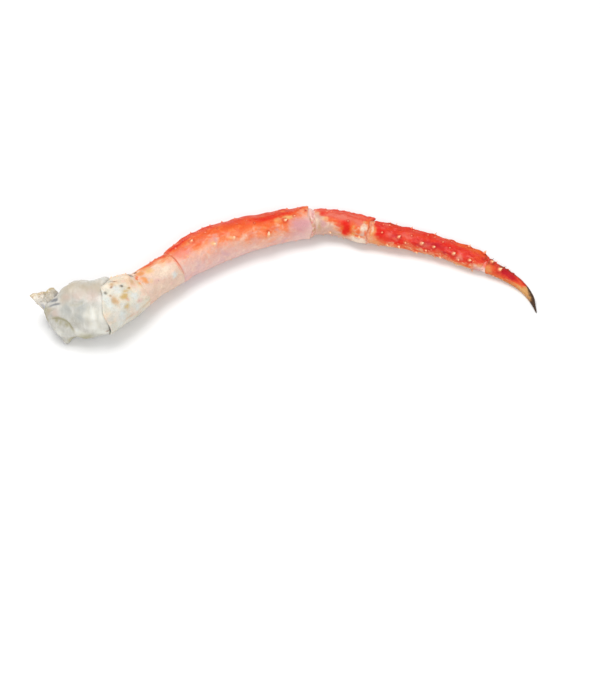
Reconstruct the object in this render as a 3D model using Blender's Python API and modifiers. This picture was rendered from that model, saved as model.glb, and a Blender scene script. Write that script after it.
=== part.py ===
"""A cooked king crab walking leg with its shoulder, as solid segments in their real places.

The leg lies on its side on the plane Z = 0, so it bends in the XY plane: the shoulder is at -X, the knee
points to +Y and the claw curves down to its tip at +X. The back of each segment (its red crest) faces +Y.
Each shell segment is a loft of oval rings along a bowed line, with thorns raised from its own faces.
Units are metres.
"""

import math
from dataclasses import dataclass

import bmesh
import bpy
from mathutils import Matrix, Vector

MM = 0.001
CLEARANCE = 0.3 * MM  # left between solids that touch
CUTTER_SIZE = 250 * MM  # of the cutters that only need to be larger than what they cut
SMALLEST_LIFT = 0.3 * MM  # a thorn that would end lower than this above the floor is left out

# ---- driving dimensions ---------------------------------------------------------------------------------
SHOULDER_HEADING = 8.0  # degrees from +X to the line through the shoulder block
SEAM_RADIUS = 48 * MM  # the coxa's root bulges into the shoulder as part of an upright cylinder
SEAM_TRIM = 2 * MM  # how much of the coxa's length that cylinder takes off at the middle


@dataclass
class Segment:
    """One shell segment: a bowed line with oval rings, root end first."""

    name: str
    length: float  # straight distance from end to end
    heading: float  # degrees from +X to that line
    bow: float  # how far the line stands off towards the back
    bow_at: float  # where along the length it stands off most
    stations: tuple  # (place along, width across the bend plane, height along Z)
    egg: float = 0.10  # how much thinner the back is than the underside
    sides: int = 18
    rings: int = 14
    rim: float = 0.90  # size of the end faces, as a share of the ring next to them
    flare: float = 1.0  # size of the last full ring before the tip's end face
    thorn_rows: tuple = ()  # (degrees round, first, last, how many, height)
    single_thorns: tuple = ()  # (degrees round, place along, height)


@dataclass
class Joint:
    """Where two segments meet: the heading of both end faces, and the soft skin between them."""

    heading: float
    level: float  # height of the leg's middle above the floor
    thickness: float  # space between the two end faces
    skin: str = ""  # name of the membrane's node, or empty where the shells meet in a seam
    skin_width: float = 0.0
    skin_height: float = 0.0


SEGMENTS = (
    Segment("coxa", 38.0 * MM, 36.0, bow=0.6 * MM, bow_at=0.5, egg=0.02, sides=20, rings=10, rim=0.93,
            stations=((0, 49 * MM, 40 * MM), (0.4, 46 * MM, 38 * MM), (1, 34 * MM, 31 * MM)),
            single_thorns=((28, 0.72, 2.0), (62, 0.58, 1.8), (100, 0.40, 1.6))),
    Segment("ischium", 38.4 * MM, 42.1, bow=0.8 * MM, bow_at=0.5, egg=0.04, rings=11, rim=0.92, flare=1.03,
            stations=((0, 31 * MM, 29 * MM), (0.35, 28.6 * MM, 27 * MM), (1, 29.4 * MM, 27.5 * MM)),
            thorn_rows=((30, 0.55, 0.92, 3, 1.6), (8, 0.50, 0.90, 3, 1.6)),
            single_thorns=((196, 0.80, 1.6),)),
    Segment("merus", 129.1 * MM, 24.6, bow=10.3 * MM, bow_at=0.41, sides=20, rings=27, rim=0.92, flare=1.04,
            stations=((0, 29.4 * MM, 28 * MM), (0.26, 33.8 * MM, 31 * MM), (0.50, 31.6 * MM, 30 * MM),
                      (0.74, 27.8 * MM, 27.6 * MM), (1, 28 * MM, 25 * MM)),
            thorn_rows=((0, 0.05, 0.95, 13, 1.7), (30, 0.06, 0.96, 15, 1.9), (56, 0.12, 0.92, 8, 1.5),
                        (120, 0.14, 0.86, 5, 2.4), (198, 0.12, 0.88, 6, 1.8), (332, 0.08, 0.92, 9, 1.6),
                        (246, 0.15, 0.85, 5, 1.6))),
    Segment("carpus", 48.3 * MM, -11.2, bow=3.2 * MM, bow_at=0.45, egg=0.08, rings=13, flare=1.06,
            stations=((0, 22.5 * MM, 19.5 * MM), (0.5, 23.5 * MM, 20.5 * MM), (1, 25 * MM, 21 * MM)),
            thorn_rows=((30, 0.18, 0.86, 5, 1.9), (72, 0.25, 0.80, 3, 2.0), (346, 0.20, 0.85, 5, 1.8),
                        (118, 0.30, 0.72, 2, 2.0), (198, 0.22, 0.80, 4, 1.7)),
            single_thorns=((40, 0.95, 3.0), (160, 0.93, 3.2), (310, 0.93, 2.6))),
    Segment("propodus", 104.5 * MM, -18.3, bow=4.2 * MM, bow_at=0.5, egg=0.06, sides=16, rings=25, rim=0.88,
            flare=1.04,
            stations=((0, 21.5 * MM, 17.5 * MM), (0.3, 20 * MM, 16 * MM), (0.65, 17.5 * MM, 15 * MM),
                      (1, 20 * MM, 15.5 * MM)),
            thorn_rows=((32, 0.10, 0.94, 10, 1.9), (78, 0.14, 0.90, 7, 2.0), (131, 0.12, 0.90, 8, 2.2),
                        (174, 0.10, 0.90, 9, 1.9), (202, 0.12, 0.92, 8, 1.8), (344, 0.08, 0.92, 9, 1.8),
                        (300, 0.12, 0.70, 5, 1.6))),
    Segment("dactylus", 61.2 * MM, -50.5, bow=8.7 * MM, bow_at=0.57, egg=0.04, sides=14, rings=20, rim=0.84,
            stations=((0, 15.5 * MM, 12.5 * MM), (0.16, 11.6 * MM, 10.4 * MM), (0.45, 8.6 * MM, 8.2 * MM),
                      (0.75, 5.4 * MM, 5.2 * MM), (0.92, 2.7 * MM, 2.7 * MM), (1, 0.9 * MM, 0.9 * MM)),
            thorn_rows=((34, 0.08, 0.44, 3, 1.4), (346, 0.10, 0.48, 3, 1.4)),
            single_thorns=((76, 0.13, 2.2), (124, 0.10, 1.8), (98, 0.26, 1.5))),
)

# The joint at each segment's root, and last the claw's own point.
JOINTS = (
    Joint(6, 21.5 * MM, 0),
    Joint(40, 18.5 * MM, CLEARANCE),
    Joint(42, 15.9 * MM, CLEARANCE),
    Joint(7, 13.3 * MM, 5.4 * MM, skin="knee_membrane", skin_width=19 * MM, skin_height=15.5 * MM),
    Joint(-14, 10.7 * MM, 3.6 * MM, skin="wrist_membrane", skin_width=16 * MM, skin_height=13 * MM),
    Joint(-31, 7.3 * MM, 4.2 * MM, skin="claw_membrane", skin_width=11 * MM, skin_height=9 * MM),
    Joint(-74, 0.9 * MM, 0),
)

# Lumps of the shoulder block, measured from the middle of the coxa's root face along the shoulder's own
# axes (towards the body, towards the back, up): centre, then half sizes.
SHOULDER_LUMPS = {
    "socket_rim": ((-1, 2, 20), (14, 24.5, 20)),
    "socket_back": ((-7, 13, 19.5), (15, 13, 18)),
    "socket_muscle": ((13, 3, 20.5), (24, 23.5, 21.5)),
    "back_muscle": ((22, 12, 23), (20, 17, 18.5)),
    "body_end": ((31, 4, 18), (19, 18, 17)),
    "under_fold": ((29, -7, 13), (14.5, 12, 12)),
    "lower_ledge": ((15, -8, 11), (19, 12.5, 11)),
}
SHOULDER_VOXEL = 3.4 * MM
SHOULDER_SMOOTHING = 5

# The broken flap of body wall that stands out of the shoulder's end.
FLAP_LENGTH = 31 * MM
FLAP_WIDTH = 21 * MM
FLAP_THICKNESS = 2.2 * MM
FLAP_HEADING = 166  # degrees from +X
FLAP_CURL = 7 * MM  # how far its sides and end turn up
FLAP_ROOT = (29, 9, 18)  # where it leaves the block, in millimetres along the shoulder's own axes

SHELL_RED = (0.83, 0.13, 0.055)
SHELL_PALE = (0.80, 0.55, 0.43)
MEAT_WHITE = (0.70, 0.66, 0.57)
SKIN_PINK = (0.75, 0.45, 0.37)
CLAW_RED = (0.78, 0.12, 0.06)


# ---- materials and small helpers ------------------------------------------------------------------------
def make_material(name, colour, roughness):
    material = bpy.data.materials.new(name)
    material.use_nodes = True
    shader = material.node_tree.nodes["Principled BSDF"]
    shader.inputs["Base Color"].default_value = (*colour, 1)
    shader.inputs["Roughness"].default_value = roughness
    shader.inputs["Metallic"].default_value = 0
    return material


def new_collection(name):
    collection = bpy.data.collections.new(name)
    bpy.context.scene.collection.children.link(collection)
    return collection


def solid_from(made, name, collection, material):
    """A named object from a bmesh, shaded smooth apart from its sharp edges."""
    mesh = bpy.data.meshes.new(name)
    made.to_mesh(mesh)
    made.free()
    mesh.materials.append(material)
    mesh.shade_smooth()
    mesh.set_sharp_from_angle(angle=math.radians(50))
    solid = bpy.data.objects.new(name, mesh)
    collection.objects.link(solid)
    return solid


def helper_from(made, name, collection):
    """A shape that only cuts or joins others, drawn as wires and left out of renders."""
    mesh = bpy.data.meshes.new(name)
    made.to_mesh(mesh)
    made.free()
    helper = bpy.data.objects.new(name, mesh)
    helper.hide_render = True
    helper.display_type = "WIRE"
    collection.objects.link(helper)
    return helper


def add_boolean(target, name, operation, other):
    cut = target.modifiers.new(name, "BOOLEAN")
    cut.operation = operation
    cut.object = other


def in_plane(heading):
    """The unit vector in the XY plane at this many degrees from +X."""
    angle = math.radians(heading)
    return Vector((math.cos(angle), math.sin(angle), 0))


def back_of(heading):
    """The direction of the leg's back for rings that face this heading."""
    return in_plane(heading + 90)


def through(stations, column, along):
    """Reads one column of the stations at a place along, on a smooth curve through their values."""
    places = [station[0] for station in stations]
    values = [station[column] for station in stations]
    last = len(places) - 1

    def slope(k):
        before, after = max(k - 1, 0), min(k + 1, last)
        return (values[after] - values[before]) / (places[after] - places[before])

    k = max(i for i in range(last) if i == 0 or places[i] <= along)
    step = places[k + 1] - places[k]
    t = (along - places[k]) / step
    near, far = (2 * t**3 - 3 * t**2 + 1), (3 * t**2 - 2 * t**3)
    leave, arrive = (t**3 - 2 * t**2 + t) * step, (t**3 - t**2) * step
    return near * values[k] + far * values[k + 1] + leave * slope(k) + arrive * slope(k + 1)


# ---- shell segments -------------------------------------------------------------------------------------
def oval(degrees, half_width, half_height, egg):
    """A point of a ring: how far towards the back, and how far up. 0 degrees is the back, 90 is up."""
    squareness = 2 / 2.25
    c, s = math.cos(math.radians(degrees)), math.sin(math.radians(degrees))
    towards_back = math.copysign(abs(c) ** squareness, c) * half_width
    up = math.copysign(abs(s) ** squareness, s) * half_height * (1 - egg * c)
    return towards_back, up


def ring_points(centre, heading, half_width, half_height, egg, sides):
    points = []
    for side in range(sides):
        towards_back, up = oval(360 * side / sides, half_width, half_height, egg)
        point = centre + back_of(heading) * towards_back + Vector((0, 0, up))
        point.z = max(point.z, 0.0)  # the underside rests flat on the floor
        points.append(point)
    return points


def loft(rings):
    """A closed bmesh through the rings, and its side faces by ring and side."""
    made = bmesh.new()
    rows = [[made.verts.new(point) for point in ring] for ring in rings]
    sides = len(rings[0])
    grid = []
    for near, far in zip(rows, rows[1:]):
        strip = []
        for i in range(sides):
            j = (i + 1) % sides
            strip.append(made.faces.new((near[i], near[j], far[j], far[i])))
        grid.append(strip)
    made.faces.new(reversed(rows[0]))
    made.faces.new(rows[-1])
    bmesh.ops.recalc_face_normals(made, faces=made.faces)
    return made, grid


def raise_thorn(made, face, height, lean):
    """Draws one face of the shell in and pulls its middle up into a four-sided thorn that leans forward."""
    inset = 0.26 * math.sqrt(face.calc_area())
    bmesh.ops.inset_individual(made, faces=[face], thickness=inset)
    poked = bmesh.ops.poke(made, faces=[face], offset=height)
    for vertex in poked["verts"]:
        vertex.co += lean * height * 0.45


def places_of_thorns(segment):
    """(degrees round, place along, height) of every thorn, the rows staggered against each other."""
    for row, (degrees, first, last, count, height) in enumerate(segment.thorn_rows):
        for i in range(count):
            along = first + (last - first) * (i + 0.5 * (row % 2)) / count
            swing = 5.0 * math.sin(2.4 * i + 1.7 * row)
            uneven = 1 + 0.22 * math.sin(3.1 * i + 0.9 * row)
            yield degrees + swing, along, height * MM * uneven
    for degrees, along, height in segment.single_thorns:
        yield degrees, along, height * MM


def line_of(segment, root, tip, level, next_level):
    """A function that gives the middle of the segment's ring at a place along it."""
    skew = math.log(0.5) / math.log(segment.bow_at)

    def middle(along, heading):
        stand_off = segment.bow * math.sin(math.pi * along ** skew)
        centre = root.lerp(tip, along) + back_of(heading) * stand_off
        centre.z = level + (next_level - level) * along
        return centre

    return middle


def segment_rings(segment, root, tip, start, end):
    """The rings of a segment between its two joints, with the edges of its end faces rounded."""
    edge = 0.6 * MM / segment.length
    places = [(0.0, segment.rim), (0.012 + edge, 0.975)]
    places += [(0.04 + 0.92 * i / (segment.rings - 1), 1.0) for i in range(segment.rings)]
    places[-1] = (places[-1][0], segment.flare)
    places += [(0.988 - edge, 0.975 * segment.flare), (1.0, segment.rim)]
    middle = line_of(segment, root, tip, start.level, end.level)
    rings = []
    for along, share in places:
        heading = start.heading + (end.heading - start.heading) * along
        half_width = 0.5 * share * through(segment.stations, 1, along)
        half_height = 0.5 * share * through(segment.stations, 2, along)
        rings.append(ring_points(middle(along, heading), heading, half_width, half_height,
                                 segment.egg, segment.sides))
    return rings


def make_segment(segment, root, tip, start, end, collection, material):
    made, grid = loft(segment_rings(segment, root, tip, start, end))
    first, span = 2, segment.rings - 1  # the loft's first two strips are the rounded root end
    used = set()
    for degrees, along, height in places_of_thorns(segment):
        strip = first + min(span - 1, max(0, int((along - 0.04) / 0.92 * span)))
        side = int((degrees % 360) / 360 * segment.sides)
        face = grid[strip][side]
        apex = face.calc_center_median() + face.normal * height
        if (strip, side) in used or apex.z < SMALLEST_LIFT:
            continue
        used.add((strip, side))
        raise_thorn(made, face, height, in_plane(segment.heading))
    return solid_from(made, segment.name, collection, material)


def make_membrane(joint, start, collection, material):
    """The soft skin of a joint: a short barrel that fills the space between two end faces."""
    sides = 16
    ahead = in_plane(joint.heading)
    thickness = joint.thickness - 2 * CLEARANCE
    rings = []
    for along, share in ((0, 0.94), (0.25, 1.0), (0.5, 1.02), (0.75, 1.0), (1, 0.94)):
        centre = start + ahead * (CLEARANCE + thickness * along)
        centre.z = joint.level
        half_width, half_height = 0.5 * share * joint.skin_width, 0.5 * share * joint.skin_height
        rings.append(ring_points(centre, joint.heading, half_width, half_height, 0.04, sides))
    made, _ = loft(rings)
    return solid_from(made, joint.skin, collection, material)


# ---- shoulder -------------------------------------------------------------------------------------------
def shoulder_axes(seam):
    """A matrix from the shoulder's own axes (towards the body, towards the back, up) to the leg's."""
    to_body = in_plane(SHOULDER_HEADING + 180)
    to_back = back_of(SHOULDER_HEADING)
    up = Vector((0, 0, 1))
    axes = Matrix((to_body, to_back, up)).transposed().to_4x4()
    return Matrix.Translation(Vector((seam.x, seam.y, 0))) @ axes


def make_lumps(axes):
    """Rough muscles of the shoulder: overlapping ellipsoids, still to be fused."""
    made = bmesh.new()
    for centre, half_sizes in SHOULDER_LUMPS.values():
        place = axes @ Matrix.LocRotScale(Vector(centre) * MM, None, Vector(half_sizes) * MM)
        bmesh.ops.create_uvsphere(made, u_segments=24, v_segments=14, radius=1, matrix=place)
    bmesh.ops.recalc_face_normals(made, faces=made.faces)
    return made


def make_flap(axes, cutters):
    """A thin curled plate with a ragged end, as a sheet of quads with thickness from Solidify."""
    along_steps, across_steps = 7, 8
    root = axes @ (Vector(FLAP_ROOT) * MM)
    ahead, aside = in_plane(FLAP_HEADING), in_plane(FLAP_HEADING - 90)
    made = bmesh.new()
    rows = []
    for i in range(along_steps + 1):
        row = []
        for j in range(across_steps + 1):
            along, across = i / along_steps, 2 * j / across_steps - 1
            ragged = 1 + 0.12 * math.sin(1.9 * j + 0.6) - 0.25 * across * across
            narrowing = 1 - 0.45 * along
            lift = FLAP_CURL * (0.55 * across * across + 0.5 * along * along)
            point = root + ahead * FLAP_LENGTH * along * ragged
            point += aside * 0.5 * FLAP_WIDTH * across * narrowing + Vector((0, 0, lift))
            row.append(made.verts.new(point))
        rows.append(row)
    for near, far in zip(rows, rows[1:]):
        for j in range(across_steps):
            made.faces.new((near[j], near[j + 1], far[j + 1], far[j]))
    flap = helper_from(made, "flap", cutters)
    thickness = flap.modifiers.new("thickness", "SOLIDIFY")
    thickness.thickness = FLAP_THICKNESS
    thickness.offset = 0
    return flap


def make_floor_block(seam, cutters):
    """A large block below the floor, which takes off what sags through it."""
    made = bmesh.new()
    place = Matrix.Translation((seam.x, seam.y, -0.5 * CUTTER_SIZE))
    bmesh.ops.create_cube(made, size=CUTTER_SIZE, matrix=place)
    return helper_from(made, "floor_block", cutters)


def upright_cylinder(name, centre, radius, cutters):
    made = bmesh.new()
    bmesh.ops.create_cone(made, cap_ends=True, segments=64, radius1=radius, radius2=radius, depth=CUTTER_SIZE,
                          matrix=Matrix.Translation(centre))
    return helper_from(made, name, cutters)


def make_shoulder(seam, collection, cutters, material):
    axes = shoulder_axes(seam)
    shoulder = solid_from(make_lumps(axes), "shoulder", collection, material)
    fuse = shoulder.modifiers.new("fuse the muscles", "REMESH")
    fuse.mode = "VOXEL"
    fuse.voxel_size = SHOULDER_VOXEL
    soften = shoulder.modifiers.new("soften", "SMOOTH")
    soften.factor = 0.5
    soften.iterations = SHOULDER_SMOOTHING
    add_boolean(shoulder, "flap", "UNION", make_flap(axes, cutters))
    add_boolean(shoulder, "flat to rest on", "DIFFERENCE", make_floor_block(seam, cutters))
    return shoulder


def fit_coxa_to_shoulder(coxa, shoulder, seam, cutters):
    """Gives the coxa a round root, and the shoulder a hollow that keeps clear of it."""
    middle = seam + in_plane(JOINTS[0].heading) * (SEAM_RADIUS + SEAM_TRIM)
    add_boolean(coxa, "round root", "INTERSECT", upright_cylinder("coxa_root", middle, SEAM_RADIUS, cutters))
    add_boolean(shoulder, "hollow for the coxa", "DIFFERENCE",
                upright_cylinder("shoulder_hollow", middle, SEAM_RADIUS + CLEARANCE, cutters))


# ---- the whole leg --------------------------------------------------------------------------------------
def centre_on_floor(collection):
    """Moves the mesh of every solid and helper so that the leg's box is centred over the origin."""
    bpy.context.view_layer.update()
    graph = bpy.context.evaluated_depsgraph_get()
    corners = []
    for item in collection.objects:
        evaluated = item.evaluated_get(graph)
        corners += [evaluated.matrix_world @ Vector(corner) for corner in evaluated.bound_box]
    low = Vector(min(corner[k] for corner in corners) for k in range(3))
    high = Vector(max(corner[k] for corner in corners) for k in range(3))
    shift = Vector((-(low.x + high.x) / 2, -(low.y + high.y) / 2, -low.z))
    for item in bpy.data.objects:
        item.data.transform(Matrix.Translation(shift))


def build():
    for item in list(bpy.data.objects):
        bpy.data.objects.remove(item, do_unlink=True)
    leg, cutters = new_collection("king_crab_leg"), new_collection("cutters")
    red_shell = make_material("red_shell", SHELL_RED, 0.42)
    pale_shell = make_material("pale_shell", SHELL_PALE, 0.45)
    meat = make_material("shoulder_meat", MEAT_WHITE, 0.40)
    skin = make_material("joint_skin", SKIN_PINK, 0.38)
    claw = make_material("claw", CLAW_RED, 0.40)
    finish = {"coxa": pale_shell, "ischium": pale_shell, "dactylus": claw}

    seam = Vector((0, 0, 0))
    shoulder = make_shoulder(seam, leg, cutters, meat)
    point = seam
    for i, segment in enumerate(SEGMENTS):
        start, end = JOINTS[i], JOINTS[i + 1]
        tip = point + in_plane(segment.heading) * segment.length
        shell = make_segment(segment, point, tip, start, end, leg, finish.get(segment.name, red_shell))
        if segment.name == "coxa":
            fit_coxa_to_shoulder(shell, shoulder, seam, cutters)
        if end.skin:
            make_membrane(end, tip, leg, skin)
        point = tip + in_plane(end.heading) * end.thickness
    centre_on_floor(leg)


build()
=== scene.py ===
# A cooked king crab leg with its shoulder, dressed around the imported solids.
import math
import random

import bmesh
import bpy
import numpy as np
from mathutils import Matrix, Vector, noise


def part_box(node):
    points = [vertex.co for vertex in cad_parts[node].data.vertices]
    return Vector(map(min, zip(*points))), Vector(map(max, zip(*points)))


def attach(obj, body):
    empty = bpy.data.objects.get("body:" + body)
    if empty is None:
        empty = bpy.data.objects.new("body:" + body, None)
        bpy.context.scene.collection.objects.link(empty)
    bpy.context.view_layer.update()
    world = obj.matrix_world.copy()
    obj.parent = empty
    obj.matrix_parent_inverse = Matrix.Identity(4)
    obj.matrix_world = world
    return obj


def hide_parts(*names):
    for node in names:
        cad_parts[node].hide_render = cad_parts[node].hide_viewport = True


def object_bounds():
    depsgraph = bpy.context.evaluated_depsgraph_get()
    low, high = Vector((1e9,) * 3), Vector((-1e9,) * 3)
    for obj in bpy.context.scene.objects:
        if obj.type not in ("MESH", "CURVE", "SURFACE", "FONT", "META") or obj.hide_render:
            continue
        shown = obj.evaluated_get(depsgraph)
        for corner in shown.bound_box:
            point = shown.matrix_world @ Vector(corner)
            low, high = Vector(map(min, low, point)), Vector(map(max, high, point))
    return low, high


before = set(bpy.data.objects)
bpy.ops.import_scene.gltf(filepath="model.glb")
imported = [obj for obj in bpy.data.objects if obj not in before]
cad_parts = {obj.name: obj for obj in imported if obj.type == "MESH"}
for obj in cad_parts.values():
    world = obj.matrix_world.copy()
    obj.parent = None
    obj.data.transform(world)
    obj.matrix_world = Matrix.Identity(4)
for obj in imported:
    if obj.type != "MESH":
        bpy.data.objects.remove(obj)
cadLow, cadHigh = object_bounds()
mm = 0.001
up = np.array((0.0, 0.0, 1.0))


# Reading the solids: the line of the leg, and how thick each shell is round it.

shellNodes = ["coxa", "ischium", "merus", "carpus", "propodus", "dactylus"]

reading = {
    "slicesPerShell": 6,    # cuts that find the middle of each solid
    "cutFrom": 0.2,         # the first and the last of them, in shares of the solid's length
    "coxaFrom": 0.55,       # the coxa's root is cut askew
    "cutTo": 0.8,
    "rootward": 16,         # how far the line runs on into the shoulder, in cuts
    "lineStep": 1.0 * mm,
    "smoothing": 9.0 * mm,  # evens out the line where two solids meet
    "girthAngles": 48,
    "girthStep": 2.0 * mm,
    "girthInset": 2.5 * mm,
    "girthSmoothing": 5,    # in slices
    "edgeSector": 20,       # degrees to either side that find where a solid ends
    "thornWindow": 7,       # slices looked at together, so that thorns of the solids are left out
    "calmShare": 35,        # which of their radii counts, per cent
}


def vertexArray(mesh, what):
    values = np.zeros(len(mesh.vertices) * 3)
    mesh.vertices.foreach_get(what, values)
    return values.reshape(-1, 3)


def readSolid(name):
    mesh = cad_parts[name].data
    edges = np.zeros(len(mesh.edges) * 2, dtype=int)
    mesh.edges.foreach_get("vertices", edges)
    return vertexArray(mesh, "co"), edges.reshape(-1, 2)


solids = {name: readSolid(name) for name in shellNodes}


def cutBy(name, origin, normal):
    # where the edges of a solid cross a plane
    points, edges = solids[name]
    side = (points - origin) @ normal
    a, b = edges[:, 0], edges[:, 1]
    crossing = (side[a] < 0) != (side[b] < 0)
    a, b = a[crossing], b[crossing]
    share = side[a] / (side[a] - side[b])
    return points[a] + (points[b] - points[a]) * share[:, None]


def backOf(direction):
    # level, and a quarter turn to the left of the leg's direction
    level = np.stack((-direction[..., 1], direction[..., 0], np.zeros(direction.shape[:-1])), -1)
    return level / np.linalg.norm(level, axis=-1, keepdims=True)


def middleOfCut(points, origin, across):
    sideways = (points - origin) @ across
    return (origin + across * (sideways.min() + sideways.max()) / 2) * (1, 1, 0) \
        + up * (points[:, 2].min() + points[:, 2].max()) / 2


def middleOf(name):
    low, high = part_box(name)
    return np.array((low + high) / 2)


def findMiddles(name):
    # the solids on either side give the direction to cut across
    points, _ = solids[name]
    neighbours = ["shoulder"] + shellNodes + shellNodes[-1:]
    place = shellNodes.index(name) + 1
    ahead = (middleOf(neighbours[place + 1]) - middleOf(neighbours[place - 1])) * (1, 1, 0)
    ahead /= np.linalg.norm(ahead)
    reach = (points - points.mean(0)) @ ahead
    found = []
    first = reading["coxaFrom" if name == "coxa" else "cutFrom"]
    for share in np.linspace(first, reading["cutTo"], reading["slicesPerShell"]):
        origin = points.mean(0) + ahead * (reach.min() + (reach.max() - reach.min()) * share)
        found.append(middleOfCut(cutBy(name, origin, ahead), origin, backOf(ahead)))
    return found


def smoothAlong(values, width):
    # moving average with ends that keep their slope
    if width < 2:
        return values
    pad = width // 2
    first = 2 * values[:1] - values[pad:0:-1]
    last = 2 * values[-1:] - values[-2:-pad - 2:-1]
    padded = np.concatenate((first, values, last))
    window = np.hanning(2 * pad + 3)[1:-1]
    window /= window.sum()
    return np.stack([np.convolve(padded[:, k], window, "valid") for k in range(values.shape[1])], -1)


def readAt(places, known, values):
    # rows of values at any places, between the known ones
    return np.stack([np.interp(places, known, values[:, k]) for k in range(values.shape[1])], -1)


def makeLine():
    knots = np.array([point for name in shellNodes for point in findMiddles(name)])
    points, _ = solids["dactylus"]
    clawRoot = knots[-reading["slicesPerShell"]]
    tip = points[np.argmax(np.linalg.norm(points - clawRoot, axis=1))]
    rootward = knots[0] - knots[1]
    knots = np.concatenate(([knots[0] + reading["rootward"] * rootward], knots, [tip]))
    travelled = np.concatenate(([0], np.cumsum(np.linalg.norm(np.diff(knots, axis=0), axis=1))))
    even = np.arange(0, travelled[-1], reading["lineStep"])
    line = readAt(even, travelled, knots)
    return smoothAlong(line, int(reading["smoothing"] / reading["lineStep"]) * 2 + 1)


legLine = makeLine()
legAhead = np.gradient(legLine, axis=0)
legAhead[:, 2] = 0
legAhead /= np.linalg.norm(legAhead, axis=1, keepdims=True)
legBack = backOf(legAhead)


def onLine(values, along):
    # reads the line, or a direction on it, at distances along the leg
    return readAt(along, np.arange(len(values)) * reading["lineStep"], values)


def toLegPlaces(points):
    # distance along the leg, angle round it from its back, and distance from its line
    gaps = ((points[:, None, :2] - legLine[None, :, :2]) ** 2).sum(2)
    nearest = gaps.argmin(1)
    offset = points - legLine[nearest]
    along = nearest * reading["lineStep"] + (offset * legAhead[nearest]).sum(1)
    out = (offset * legBack[nearest]).sum(1)
    return along, np.arctan2(offset[:, 2], out), np.hypot(out, offset[:, 2])


class Shell:
    # what the solid of one segment measures along and round the leg's line

    def __init__(self, name):
        self.name = name
        points, _ = solids[name]
        along, angle, radius = toLegPlaces(points)
        self.angles = np.linspace(-np.pi, np.pi, reading["girthAngles"], endpoint=False)
        turned = np.abs((angle[None, :] - self.angles[:, None] + np.pi) % (2 * np.pi) - np.pi)
        near = (turned < np.radians(reading["edgeSector"])) & (radius > 0.5 * np.median(radius))[None, :]
        self.roots = np.array([along[pick].min() for pick in near])
        self.tips = np.array([along[pick].max() for pick in near])
        if name == "dactylus":
            self.tips[:] = along.max()
        self.roots, self.tips = self.even(self.roots), self.even(self.tips)
        self.start, self.end = float(self.roots.mean()), float(self.tips.mean())
        self.readGirth()

    def even(self, values):
        return (np.roll(values, 1) + values + np.roll(values, -1)) / 3

    def readGirth(self):
        inset = reading["girthInset"]
        places = np.arange(self.start + inset, self.end - inset / 2, reading["girthStep"])
        table, self.places = [], []
        for along in places:
            origin, ahead, back = (onLine(v, [along])[0] for v in (legLine, legAhead, legBack))
            offset = cutBy(self.name, origin, ahead) - origin
            if len(offset) < 8:
                break
            self.places.append(along)
            out = offset @ back
            angle, radius = np.arctan2(offset[:, 2], out), np.hypot(out, offset[:, 2])
            order = np.argsort(angle)
            table.append(np.interp(self.angles, angle[order], radius[order], period=2 * np.pi))
        table = np.array(table)
        half = reading["thornWindow"] // 2
        calm = [np.percentile(table[max(0, i - half):i + half + 1], reading["calmShare"], axis=0)
                for i in range(len(table))]
        self.girth = smoothAlong(np.array(calm), reading["girthSmoothing"])

    def radius(self, along, angle):
        # from the table, between its slices and angles
        row = np.clip((along - self.places[0]) / reading["girthStep"], 0, len(self.places) - 1.001)
        column = ((angle + np.pi) / (2 * np.pi) * len(self.angles)) % len(self.angles)
        i, j = row.astype(int), column.astype(int) % len(self.angles)
        u, v = row - i, column - np.floor(column)
        k = (j + 1) % len(self.angles)
        near = self.girth[i, j] * (1 - v) + self.girth[i, k] * v
        far = self.girth[i + 1, j] * (1 - v) + self.girth[i + 1, k] * v
        return near * (1 - u) + far * u

    def edge(self, values, angle):
        return np.interp(angle, self.angles, values, period=2 * np.pi)


shells = {name: Shell(name) for name in shellNodes}
for name, shell in shells.items():
    print(f"{name}: {shell.start / mm:.1f} to {shell.end / mm:.1f} mm along the leg,",
          f"radius {shell.girth.min() / mm:.1f} to {shell.girth.max() / mm:.1f} mm")


# Colours, and materials made of nodes.

def tone(red, green, blue):
    # a colour as a screen names it, as the shader wants it
    shares = [value / 255 for value in (red, green, blue)]
    return tuple(s / 12.92 if s < 0.04 else ((s + 0.055) / 1.055) ** 2.4 for s in shares) + (1.0,)


def stops(*rows):
    # a ramp's stops, each given as its position and a colour as a screen names it
    return [(position, tone(*colour)) for position, *colour in rows]


def softness(coatRoughness, weight, radius, depth):
    # a glossy coat, and a surface that light gets into, to a depth in mm
    return {"Coat Roughness": coatRoughness, "Subsurface Weight": weight, "Subsurface Radius": radius,
            "Subsurface Scale": depth * mm}


class Value:
    # an output of a node, so that shader maths reads as maths

    def __init__(self, finish, socket):
        self.finish = finish
        self.socket = socket

    def maths(self, operation, first, second):
        return self.finish.add("ShaderNodeMath", {"operation": operation}, {0: first, 1: second})

    def __add__(self, other):
        return self.maths("ADD", self, other)

    def __mul__(self, other):
        return self.maths("MULTIPLY", self, other)

    def __sub__(self, other):
        return self.maths("SUBTRACT", self, other)

    def __rsub__(self, other):
        return self.maths("SUBTRACT", other, self)

    __radd__, __rmul__ = __add__, __mul__

    def __abs__(self):
        return self.maths("ABSOLUTE", self, 0.0)

    def step(self, low, high):
        # 0 below low, 1 above high, and smooth between them
        return self.finish.add("ShaderNodeMapRange", {"interpolation_type": "SMOOTHSTEP"},
                               {"Value": self, "From Min": low, "From Max": high})


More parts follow.
